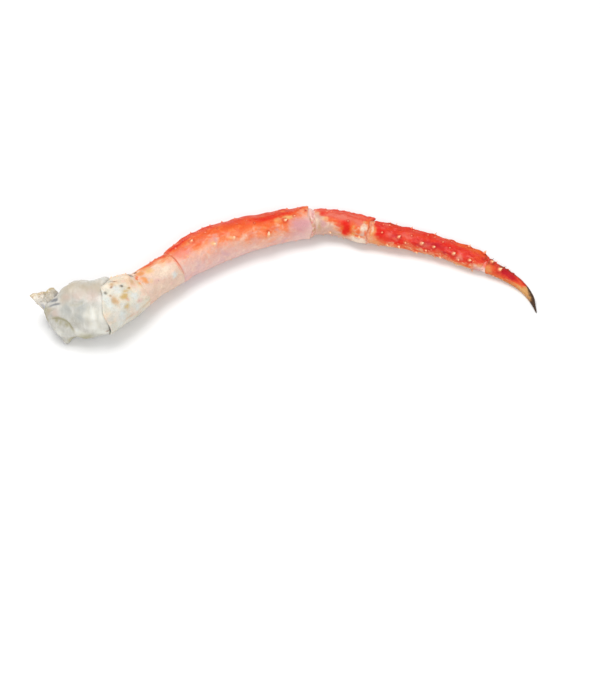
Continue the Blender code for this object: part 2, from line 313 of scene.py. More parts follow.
class Finish:
    # a material and the nodes that make it

    def __init__(self, name, constants):
        self.material = bpy.data.materials.new(name)
        self.material.use_nodes = True
        self.tree = self.material.node_tree
        self.shader = self.tree.nodes["Principled BSDF"]
        for socket, value in constants.items():
            self.shader.inputs[socket].default_value = value

    def add(self, kind, settings, sockets, output=0):
        node = self.tree.nodes.new(kind)
        for name, value in settings.items():
            if name == "stops":
                self.fillRamp(node.color_ramp, value)
            else:
                setattr(node, name, value)
        for socket, value in sockets.items():
            self.feed(node.inputs[socket], value)
        return Value(self, node.outputs[output])

    def feed(self, target, value):
        if isinstance(value, Value):
            self.tree.links.new(value.socket, target)
        else:
            target.default_value = value

    def fillRamp(self, ramp, colours):
        while len(ramp.elements) < len(colours):
            ramp.elements.new(1.0)
        for element, (position, colour) in zip(ramp.elements, colours):
            element.position = position
            element.color = colour

    def attribute(self, name):
        return self.add("ShaderNodeAttribute", {"attribute_name": name}, {}, "Fac")

    def unrolled(self, stretch=(1, 1, 1)):
        # millimetres along and round a segment, as if the leg were straight
        place = self.add("ShaderNodeAttribute", {"attribute_name": "unrolled"}, {}, "Vector")
        return self.scaled(place, stretch)

    def inSpace(self, stretch=(1, 1, 1)):
        place = self.add("ShaderNodeTexCoord", {}, {}, "Object")
        return self.scaled(place, tuple(s / mm for s in stretch))

    def scaled(self, place, stretch):
        return self.add("ShaderNodeVectorMath", {"operation": "MULTIPLY"}, {0: place, 1: stretch})

    def noise(self, place, size, detail=3.0, roughness=0.55, distortion=0.0):
        # clouds of about this many millimetres, near 0 on average
        clouds = self.add("ShaderNodeTexNoise", {}, {"Vector": place, "Scale": 1 / size, "Detail": detail,
                                                     "Roughness": roughness, "Distortion": distortion})
        return clouds - 0.5

    def dots(self, place, spacing):
        # distance from the nearest of many scattered points, in shares of their spacing
        return self.add("ShaderNodeTexVoronoi", {}, {"Vector": place, "Scale": 1 / spacing}, "Distance")

    def mix(self, share, first, second, blend="MIX"):
        settings = {"data_type": "RGBA", "blend_type": blend}
        return self.add("ShaderNodeMix", settings, {0: share, 6: first, 7: second}, 2)

    def ramp(self, value, colours):
        return self.add("ShaderNodeValToRGB", {"stops": colours}, {"Fac": value}, "Color")

    def deeper(self, colour):
        # keeps the brightest channel and darkens the others
        return self.add("ShaderNodeGamma", {}, {"Color": colour, "Gamma": 1.3}, "Color")

    def tint(self, colour, share, *shade):
        # part of the way towards a colour as a screen names it
        return self.mix(share, colour, tone(*shade))

    def bump(self, height, depth):
        # height from 0 to 1 raises the surface by this many millimetres
        return self.add("ShaderNodeBump", {}, {"Height": height, "Distance": depth * mm}, "Normal")

    def wear(self, **surface):
        names = {"colour": "Base Color", "roughness": "Roughness", "coat": "Coat Weight", "alpha": "Alpha",
                 "normal": "Normal"}
        for name, value in surface.items():
            self.feed(self.shader.inputs[names[name]], value)
        return self.material


# The shells.

dorsal = 30  # the red back of the leg faces up and away, because the leg lies rolled over a little

# What each shell is made to, by segment. Degrees are round the leg from its far side, up over the top:
# 90 is the top, 180 the near side and 270 the floor.
#   grid          rows and columns of the skin
#   waves, grain  height of the broad and the fine unevenness, mm
#   keels         lengthwise ridges: degrees, height mm, half width in degrees
#   teeth         the saw of the crest along the back: height mm, spacing mm
#   rootLobes     where the root's edge reaches out: degrees, half width in degrees, mm
#   tipLobes      and the tip's
#   lumps         swellings and hollows: share of the length, degrees, and half length, half width and
#                 height, mm
#   flare         how far the rims turn out: root mm, tip mm
#   taper         how much narrower it gets towards its tip: mm, and over how many mm
#   girth         its thickness as a share of the solid's, by share of the length
shellForm = {
    "coxa": {
        "grid": (92, 260), "waves": 1, "grain": 0.22, "teeth": (0, 4), "flare": (0, 0.1),
        "keels": [(70, 0.6, 14), (150, 0.5, 20), (300, 0.7, 18)],
        "rootLobes": [(0, 999, 0.6), (84, 30, -3.8), (140, 26, 2.4), (320, 50, 1.2)],
        "tipLobes": [(100, 26, 1.6), (170, 24, 0.8), (330, 30, 1.2)],
        "taper": (2, 9),
        "lumps": [(-0.04, 96, 3.4, 12, -0.9), (0.16, 108, 2.4, 7, -0.7), (0.4, 104, 5, 5, 1.1),
            (0.45, 132, 3, 3, -0.8), (0.64, 160, 5, 5, 0.9), (0.72, 92, 2.2, 8, -0.9),
            (0.84, 96, 3.2, 6, 0.9), (0.3, 70, 4, 3, 1), (0.6, 66, 3, 2.5, -0.8), (0.8, 60, 3, 3, 1.1),
            (0.96, 104, 1.6, 8, -0.6), (0.1, 160, 4, 6, 0.8), (0.5, 300, 4, 5, 1.1),
            (0.3, 340, 4, 4, -0.9), (0.8, 320, 3, 6, 0.9), (0.6, 230, 6, 6, 0.8)],
    },
    "ischium": {
        "grid": (88, 196), "waves": 0.5, "grain": 0.1, "teeth": (0.2, 5.4), "flare": (0.1, 0.2),
        "keels": [(40, 0.5, 12), (205, 0.5, 14), (320, 0.4, 16)],
        "rootLobes": [(0, 999, 0.6)],
        "tipLobes": [(60, 24, 0.25), (150, 34, 0.2), (0, 999, 0.3)],
        "lumps": [(0.1, 90, 3, 5, 0.8), (0.24, 84, 2, 5, -0.6), (0.78, 140, 6, 5, 0.6),
            (0.06, 150, 3, 5, 0.6), (0.16, 130, 2, 5, -0.5)],
    },
    "merus": {
        "grid": (272, 204), "waves": 0.6, "grain": 0.1, "teeth": (0.25, 6.3), "flare": (0.2, 0.2),
        "keels": [(30, 0.6, 9), (92, 0.35, 12), (205, 0.6, 10), (330, 0.5, 14), (262, 0.3, 16)],
        "rootLobes": [(0, 999, 0.2)],
        "tipLobes": [(150, 26, 1.9), (300, 28, 1.6), (40, 16, 1.2), (92, 14, -1)],
        "lumps": [(0.975, 44, 4, 4, 1.1), (0.93, 130, 9, 6, -0.5), (0.05, 44, 3, 3, 0.7),
            (0.33, 120, 6, 4, 0.4), (0.6, 150, 10, 4, 0.4)],
    },
    "carpus": {
        "grid": (116, 160), "waves": 0.5, "grain": 0.1, "teeth": (0.3, 5.2), "flare": (0, 0.25),
        "keels": [(34, 0.5, 10), (125, 0.4, 16), (320, 0.4, 14)],
        "rootLobes": [(40, 26, -0.8), (160, 30, 0.8)],
        "tipLobes": [(0, 999, 0.9), (26, 30, 4.2), (112, 20, 1.2), (178, 20, 1.4), (300, 30, 1.3)],
        "lumps": [(0.88, 186, 6.5, 2.8, 1.9), (0.86, 160, 6, 1.2, -0.8), (0.95, 118, 2.6, 3.4, 0.9),
            (0.87, 104, 1.6, 4, -0.7), (0.36, 112, 8, 3, 0.5), (0.65, 146, 4, 3, -0.5),
            (0.93, 300, 4, 4, 1), (1.02, 28, 5, 4, 0.8)],
    },
    "propodus": {
        "grid": (236, 132), "waves": 0.45, "grain": 0.1, "teeth": (0.3, 6.1), "flare": (0.2, 0),
        "keels": [(33, 0.6, 11), (84, 0.3, 12), (134, 0.45, 12), (182, 0.4, 12), (320, 0.4, 14),
            (258, 0.3, 16)],
        "rootLobes": [(0, 999, 0.9), (50, 46, -2.6)],
        "tipLobes": [(60, 70, 2.6)],
        "lumps": [(0.04, 110, 3, 6, -0.4), (0.93, 40, 5, 3, 0.5)],
        "taper": (2.6, 17),
    },
    "dactylus": {
        "grid": (176, 84), "waves": 0.2, "grain": 0.06, "teeth": (0.15, 4), "flare": (0.3, 0),
        "keels": [(44, 0.35, 16), (134, 0.3, 16), (224, 0.25, 16), (314, 0.3, 16)],
        "rootLobes": [(60, 70, 2.2)], "tipLobes": [], "lumps": [(0.03, 74, 3, 3, 0.4)],
        "girth": [(0, 1.04), (0.1, 0.97), (0.3, 1.02), (0.5, 1), (0.75, 1.06), (1, 1.12)],
    },
}

thornForm = {
    "sides": 10,
    "rings": 7,
    "sunk": 0.3,             # how much of its height stands below the shell
    "forward": 0.42,         # how far it leans towards the claw, in heights
    "astray": 9,             # degrees that one may stand off its row
    "heights": (0.4, 1.15),  # how the heights and the feet of a row vary
    "feet": (0.75, 1.15),
    "missing": 0.12,         # share of them that has broken off
}

# Rows of thorns: degrees, first and last share of the length, count, height mm, foot radius mm, and how
# cream they are, from 0 for the shell's own red to 1; below 0 they are dark bristles.
thornRows = {
    "coxa": [(40, 0.5, 0.92, 4, 1.5, 1.3, 1), (330, 0.45, 0.9, 4, 1.4, 1.3, 1),
        (296, 0.5, 0.9, 3, 1.2, 1.2, 1)],
    "ischium": [(26, 0.3, 0.95, 6, 1.5, 1.1, 0.3), (46, 0.4, 0.94, 5, 1.2, 1, 0.2),
        (208, 0.55, 0.95, 3, 1.1, 1, 0.9), (338, 0.35, 0.92, 4, 1.4, 1.1, 0.6),
        (300, 0.4, 0.9, 3, 1.2, 1.1, 0.9)],
    "merus": [(8, 0.04, 0.97, 13, 2.2, 1.3, 0.35), (31, 0.02, 0.99, 15, 1.9, 2.9, 0.1),
        (50, 0.06, 0.94, 9, 0.7, 1.3, 0.15), (72, 0.1, 0.9, 7, 0.7, 0.9, 0.3),
        (207, 0.06, 0.96, 13, 1.3, 1, 0.95), (338, 0.05, 0.95, 12, 2, 1.3, 0.8),
        (306, 0.1, 0.92, 9, 1.6, 1.2, 0.9), (276, 0.12, 0.88, 7, 1.3, 1.1, 0.9),
        (238, 0.16, 0.9, 8, 1.2, 1, 0.95)],
    "carpus": [(10, 0.1, 0.92, 7, 1.9, 1.1, 0.3), (32, 0.1, 0.97, 8, 1.2, 1.4, 0.05),
        (62, 0.18, 0.9, 5, 0.9, 1, 0.1), (214, 0.12, 0.86, 5, 1.4, 1, 0.9),
        (342, 0.12, 0.92, 6, 1.7, 1.1, 0.8), (304, 0.18, 0.88, 4, 1.4, 1.1, 0.9),
        (262, 0.2, 0.85, 3, 1.2, 1, 0.9)],
    "propodus": [(10, 0.05, 0.97, 10, 2.4, 1.1, 0.6), (33, 0.05, 0.95, 6, 0.9, 1.6, 0.1),
        (60, 0.06, 0.95, 7, 0.8, 1.1, 0.3), (344, 0.06, 0.95, 11, 1.9, 1.1, 0.8),
        (310, 0.08, 0.93, 10, 1.7, 1.1, 0.9), (206, 0.08, 0.95, 11, 1.5, 1, 0.9),
        (274, 0.1, 0.9, 9, 1.4, 1, 0.9), (238, 0.14, 0.94, 9, 1.3, 1, 0.9)],
    "dactylus": [(36, 0.02, 0.46, 6, 1.6, 0.6, 0.1), (346, 0.05, 0.5, 6, 1.3, 0.7, 0.7),
        (300, 0.06, 0.46, 5, 1.1, 0.7, 0.8), (190, 0.06, 0.42, 4, 1, 0.7, 0.6)],
}

# Thorns set one by one on the near side: share of the length, degrees, height mm, foot radius mm, how
# cream, and how far they lean back up over the leg.
thornSingles = {
    "coxa": [], "ischium": [],
    "merus": [(0.174, 79, 1.9, 1.6, 1, 0), (0.296, 125, 2, 1.8, 1, 0.2), (0.447, 127, 2.1, 1.8, 1, 0.3),
        (0.694, 148, 5.8, 2.4, 1, 1.1), (0.832, 107, 2.2, 1.6, 1, 0.2), (0.62, 96, 1, 1, 0.4, 0),
        (0.08, 118, 0.9, 1.1, 0.7, 0), (0.9, 92, 1.1, 1.1, 0.9, 0)],
    "carpus": [(0.305, 182, 1.8, 1.5, 1, 0), (0.64, 107, 1.2, 1, 0.6, 0), (0.93, 112, 1.2, 1.5, 1, 0),
        (0.9, 165, 1.1, 1.4, 1, 0)],
    "propodus": [(0.155, 178, 2.2, 1.3, 1, 0), (0.245, 127, 2.6, 1.5, 1, 0.5),
        (0.257, 177, 2.6, 1.5, 1, 0.4), (0.41, 195, 2.4, 1.5, 1, 0), (0.45, 133, 2.8, 1.6, 1, 0.5),
        (0.496, 165, 1.8, 1.2, 0.9, 0), (0.556, 134, 2.5, 1.4, 1, 0.4), (0.617, 87, 1.6, 0.9, 0.7, 0),
        (0.621, 183, 2.4, 1.5, 1, 0), (0.739, 137, 2.8, 1.7, 1, 0.5), (0.796, 160, 1.4, 1.1, 0.8, 0),
        (0.891, 137, 2.4, 1.5, 0.9, 0.4), (0.1, 122, 1.4, 1.1, 0.7, 0), (0.35, 100, 1.1, 0.9, 0.5, 0),
        (0.31, 150, 1.6, 1.1, 0.8, 0.2), (0.69, 112, 1.2, 0.9, 0.5, 0), (0.14, 34, 2, 1.7, 0.2, 0),
        (0.325, 34, 2.2, 1.9, 0.2, 0), (0.525, 35, 2.9, 1.7, 0.3, 0), (0.69, 30, 1.7, 1.6, 0.2, 0),
        (0.825, 36, 2.5, 2.3, 0.5, 0), (0.965, 40, 2.6, 2, 0.5, 0)],
    "dactylus": [(0.032, 74, 2.2, 1.6, 1, 0.2), (0.177, 102, 2.3, 2, 1, 0.3),
        (0.215, 48, 2.4, 0.45, -1, 0.6), (0.02, 50, 2.4, 0.5, -1, 0.6), (0.045, 62, 1.6, 0.4, -1, 0.3)],
}


# What all shells share. Unevenness is given in layers, each with its size in mm, its share and its seed.
skinForm = {
    "waves": ((17, 1.0, 3.1), (6, 0.4, 7.7)),
    "grain": ((2.2, 1.0, 1.3), (0.9, 0.7, 9.1)),
    "ragged": ((7, 1.0, 2.2), (2.6, 0.5, 4.4)),
    "drift": [((5, 1.5, seed), (2, 0.7, seed)) for seed in (12.3, 31.7)],
    "crest": 14,        # half width in degrees of the saw along the back
    "groove": 0.3,      # depth of the groove behind a rim that flares, mm
    "worn": 0.5,        # how much the outermost edge of an end is rounded off, mm
    "slender": 4,       # where the leg is thinner than this, mm, all relief is lower
    "mound": 0.42,      # the swelling that a thorn stands on, as a share of its height
    "lip": ((0.93, 0.10), (0.86, 0.45), (0.74, 1.0), (0.5, 1.3)),  # the turned-in rim: width, depth mm
    "clawLip": 0.35,    # how much of that depth the claw's tip has
    "clawPoint": (0.2, 12, 0.6),  # how the claw runs out: share left, over how many mm, and how bluntly
    "unrolled": 12.0,   # radius in mm of the even tube that materials see
}


def noiseAt(points, size, seed=0.0):
    # smooth noise from -1 to 1 whose bumps are about this size across
    scaled = points / size + seed
    return np.array([noise.noise(Vector(point)) for point in scaled])


def layers(points, rows):
    return sum(share * noiseAt(points, size * mm, seed) for size, share, seed in rows)


def gridIndex(rows, columns):
    return np.arange(rows * columns).reshape(rows, columns)


def turnsOf(columns):
    # angles round the leg, from the floor up over the far side
    return np.linspace(-np.pi / 2, 1.5 * np.pi, columns, endpoint=False)


def turnFrom(angle, degrees):
    # how many degrees round the leg from here, 0 to 180
    return np.abs((np.degrees(angle) - degrees + 180) % 360 - 180)


def placesOfThorns(name):
    # each as (way from the root, angle, height, foot radius, how cream, lean up), the same on every run
    shell, draw = shells[name], random.Random("thorns of the " + name)
    length, placed = shell.end - shell.start, []
    for row, (degrees, first, last, count, height, foot, cream) in enumerate(thornRows[name]):
        for i in range(count):
            share = first + (last - first) * (i + 0.5 * (row % 2) + draw.uniform(-0.5, 0.5)) / count
            angle = math.radians(degrees + draw.uniform(-thornForm["astray"], thornForm["astray"]))
            uneven = draw.uniform(*thornForm["heights"])
            if draw.random() < thornForm["missing"]:
                continue
            wide = foot * draw.uniform(*thornForm["feet"])
            placed.append((share * length, angle, height * uneven * mm, wide * mm, cream, 0.0))
    for share, degrees, height, foot, cream, lean in thornSingles[name]:
        placed.append((share * length, math.radians(degrees), height * mm, foot * mm, cream, lean))
    return placed


def pointOnShell(name, fromRoot, angle, lift=0.0):
    # a point on a shell and the direction straight out of it
    shell = shells[name]
    along = np.array([shell.start + fromRoot])
    out = onLine(legBack, along)[0] * math.cos(angle) + up * math.sin(angle)
    return onLine(legLine, along)[0] + out * (shell.radius(along, np.array([angle]))[0] + lift), out


def insideSolids(points):
    # keeps a piece within the box of the solids, just off the floor
    offFloor = 0.05 * mm
    return np.clip(points, np.array(cadLow) + (0, 0, offFloor), np.array(cadHigh))


def writeAttribute(mesh, name, values):
    layer = mesh.attributes.new(name, "FLOAT", "POINT")
    layer.data.foreach_set("value", np.asarray(values, dtype=np.float32))


def addPiece(name, mesh, slot, material, *nodes):
    # a finished piece in the model: it rides on the leg and stands for its solids
    mesh.materials.append(material)
    mesh.shade_smooth()
    piece = bpy.data.objects.new(name, mesh)
    bpy.context.scene.collection.objects.link(piece)
    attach(piece, "root")
    if nodes:
        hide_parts(*nodes)
    print(f"{name}: {len(mesh.polygons)} faces")


class Skin:
    # the closed outer skin of a shell: rows from root to tip, each running round the leg

    def __init__(self, name):
        form, shell = shellForm[name], shells[name]
        self.name = name
        self.length = shell.end - shell.start
        rows, columns = form["grid"]
        turn = turnsOf(columns)
        root = shell.edge(shell.roots, turn) - self.reach(form["rootLobes"], turn)
        tip = shell.edge(shell.tips, turn) + self.reach(form["tipLobes"], turn)
        self.along = root + (tip - root) * np.linspace(0, 1, rows)[:, None]
        self.angle = np.broadcast_to(turn, self.along.shape)
        self.toRoot, self.toTip = (self.along - root) / mm, (tip - self.along) / mm
        self.share = (self.along - shell.start) / self.length
        self.girth = shell.radius(self.along.ravel(), self.angle.ravel()).reshape(self.along.shape)
        self.girth = self.girth * np.interp(self.share, *zip(*form.get("girth", [(0, 1.0), (1, 1.0)])))
        drop, over = form.get("taper", (0, 1))
        self.girth = self.girth - drop * mm * (1 - np.clip(self.toTip / over, 0, 1)) ** 1.5
        if name == "dactylus":
            left, over, blunt = skinForm["clawPoint"]
            self.girth = self.girth * (left + (1 - left) * np.clip(self.toTip / over, 0, 1) ** blunt)
        self.points = self.placed(self.girth)
        self.drift = [layers(self.points, rows) for rows in skinForm["drift"]]
        self.halo = np.zeros(len(self.points))
        lift = self.relief(form) + self.mounds()
        wide = np.clip(self.girth.ravel() / (skinForm["slender"] * mm), 0, 1)
        self.points = self.placed(self.girth + (lift * wide * mm).reshape(self.girth.shape))
        self.points = insideSolids(self.points)

    def reach(self, lobes, turn):
        return sum(size * mm * np.exp(-(turnFrom(turn, degrees) / width) ** 2)
                   for degrees, width, size in lobes)

    def placed(self, radius):
        flat = self.along.ravel()
        back = onLine(legBack, flat)
        back /= np.linalg.norm(back, axis=1, keepdims=True)
        cos, sin = np.cos(self.angle).ravel()[:, None], np.sin(self.angle).ravel()[:, None]
        return onLine(legLine, flat) + (back * cos + up * sin) * radius.ravel()[:, None]

    def relief(self, form):
        # everything raised on the shell but its thorns, in mm
        points, angle = self.points, self.angle.ravel()
        lift = sum(form[kind] * layers(points, skinForm[kind]) for kind in ("waves", "grain"))
        for degrees, height, width in form["keels"]:
            lift += height * np.exp(-(turnFrom(angle, degrees) / width) ** 2)
        for share, degrees, long, wide, height in form["lumps"]:
            lift += height * self.blob(share, degrees, long, wide, 0.8)
        height, spacing = form["teeth"]
        crest = np.exp(-(turnFrom(angle, dorsal + 3) / skinForm["crest"]) ** 2)
        phase = self.along.ravel() / mm / spacing * math.pi / 2 + 3 * noiseAt(points, 14 * mm, 5.0)
        lift += height * crest * (np.abs(np.sin(phase)) - 0.4)
        toRoot, toTip = self.toRoot.ravel(), self.toTip.ravel()
        rootFlare, tipFlare = form["flare"]
        lift += rootFlare * np.exp(-(toRoot / 1.6) ** 2) + tipFlare * np.exp(-(toTip / 1.8) ** 2)
        lift -= skinForm["groove"] * np.exp(-((toTip - 3.4) / 1.1) ** 2) * (tipFlare > 0.22)
        lift -= skinForm["worn"] * np.exp(-(toRoot / 0.4) ** 2)
        if self.name != "dactylus":
            lift -= skinForm["worn"] * np.exp(-(toTip / 0.4) ** 2)
        return lift

    def mounds(self):
        # the swelling that each thorn stands on, and the pale ring round its foot
        lift = np.zeros(len(self.points))
        for fromRoot, angle, height, foot, cream, _ in placesOfThorns(self.name):
            centre, _ = pointOnShell(self.name, fromRoot, angle)
            ahead = onLine(legAhead, [shells[self.name].start + fromRoot])[0]
            apart = self.points - centre
            gap = (apart ** 2).sum(1) / foot ** 2
            near = gap < 40  # further off nothing changes
            behind = np.clip(-(apart[near] @ ahead), 0, None)
            swelling = np.exp(-0.7 * (gap[near] - 0.82 * (behind / foot) ** 2))
            lift[near] += skinForm["mound"] * height / mm * swelling
            self.halo[near] = np.maximum(self.halo[near], cream * np.exp(-0.7 * gap[near]))
        return lift

    def mesh(self):
        index = gridIndex(*self.along.shape)
        nextColumn = np.roll(index, -1, axis=1)
        quads = np.stack((index[:-1], nextColumn[:-1], nextColumn[1:], index[1:]), -1).reshape(-1, 4)
        points, faces = self.points.tolist(), quads.tolist()
        faces += self.endCap(points, index[0][::-1], 1)
        faces += self.endCap(points, index[-1], -1)
        made = bpy.data.meshes.new(self.name + "_shell")
        made.from_pydata(points, [], faces)
        turns = len(skinForm["lip"])
        rims = [np.tile(index[0][::-1], turns), index[0][:1], np.tile(index[-1], turns), index[-1][:1]]
        self.writeLooks(made, np.concatenate([index.ravel()] + rims))
        return made

    def endCap(self, points, ring, inward):
        # the rim turns in over a lip and closes a little way down the shell
        middle = np.mean([points[i] for i in ring], axis=0)
        along = float(self.along[0 if inward > 0 else -1].mean())
        ahead = onLine(legAhead, [along])[0] * inward
        small = skinForm["clawLip"] if self.name == "dactylus" and inward < 0 else 1.0
        faces, before = [], list(ring)
        for width, depth in skinForm["lip"]:
            after = list(range(len(points), len(points) + len(ring)))
            for i in ring:
                edge = np.array(points[i])
                points.append((middle + (edge - middle) * width + ahead * depth * small * mm).tolist())
            faces += bridge(before, after)
            before = after
        points.append((middle + ahead * skinForm["lip"][-1][1] * small * mm).tolist())
        return faces + bridge(before, [len(points) - 1] * len(ring))

    def writeLooks(self, made, source):
        # what the materials need to know; the turned-in rims repeat their edge
        look = shellLook[self.name]
        masks = {kind: self.patches(spots) for kind, spots in look["patches"].items()}
        masks.update(halo=self.halo, red=self.redness(look))
        for name, values in masks.items():
            writeAttribute(made, name, values[source])
        radius = skinForm["unrolled"]
        unrolled = np.stack((self.along.ravel() / mm, radius * np.cos(self.angle).ravel(),
                             radius * np.sin(self.angle).ravel()), -1)
        layer = made.attributes.new("unrolled", "FLOAT_VECTOR", "POINT")
        layer.data.foreach_set("vector", unrolled[source].astype(np.float32).ravel())

    def redness(self, look):
        # 0 where the red ends, growing by 1 each blend degrees towards the back of the leg
        shares, near, far = zip(*look["redTo"])
        angle, share = self.angle.ravel(), self.share.ravel()
        isNear = np.sin(angle - math.radians(dorsal)) > 0
        edge = np.where(isNear, np.interp(share, shares, near), np.interp(share, shares, far))
        uneven = look["ragged"] * layers(self.points, skinForm["ragged"])
        return (edge - turnFrom(angle, dorsal) + uneven) / look["blend"]

    def patches(self, spots):
        # soft uneven spots at (share, degrees), with half length and half width in mm and a strength
        mask = np.zeros(len(self.points))
        for share, degrees, long, wide, strength in spots:
            uneven = min(1.0, min(long, wide) / 2.5)  # small spots keep their shape
            mask = np.maximum(mask, strength * self.blob(share, degrees, long, wide, uneven))
        return mask

    def blob(self, share, degrees, long, wide, uneven):
        # 1 at a place on the shell, falling off over its half length and half width in mm
        ahead = ((self.share.ravel() - share) * self.length / mm + self.drift[0] * uneven) / long
        around = np.radians(turnFrom(self.angle.ravel(), degrees)) * self.girth.ravel() / mm
        aside = (around + self.drift[1] * uneven) / wide
        return np.exp(-0.7 * (ahead ** 2 + aside ** 2))


def bridge(before, after):
    # faces between two rings, or between a ring and one repeated point
    faces = []
    for k in range(len(before)):
        j = (k + 1) % len(before)
        if after[k] == after[j]:
            faces.append((before[k], before[j], after[k]))
        else:
            faces.append((before[k], before[j], after[j], after[k]))
    return faces


# Tints of the spots that lie on a shell over its red and pale ground.
patchTones = {
    "deep": (234, 40, 8), "pink": (240, 150, 132), "orange": (240, 122, 58), "apricot": (240, 172, 112),
    "gold": (238, 198, 138), "ochre": (218, 190, 132), "blush": (238, 204, 186), "cream": (247, 232, 214),
    "mauve": (222, 172, 176), "white": (228, 231, 228), "tan": (212, 180, 142), "brown": (160, 98, 52),
    "grey": (136, 132, 124), "magenta": (204, 22, 56), "coral": (234, 140, 108), "horn": (70, 52, 46),
}

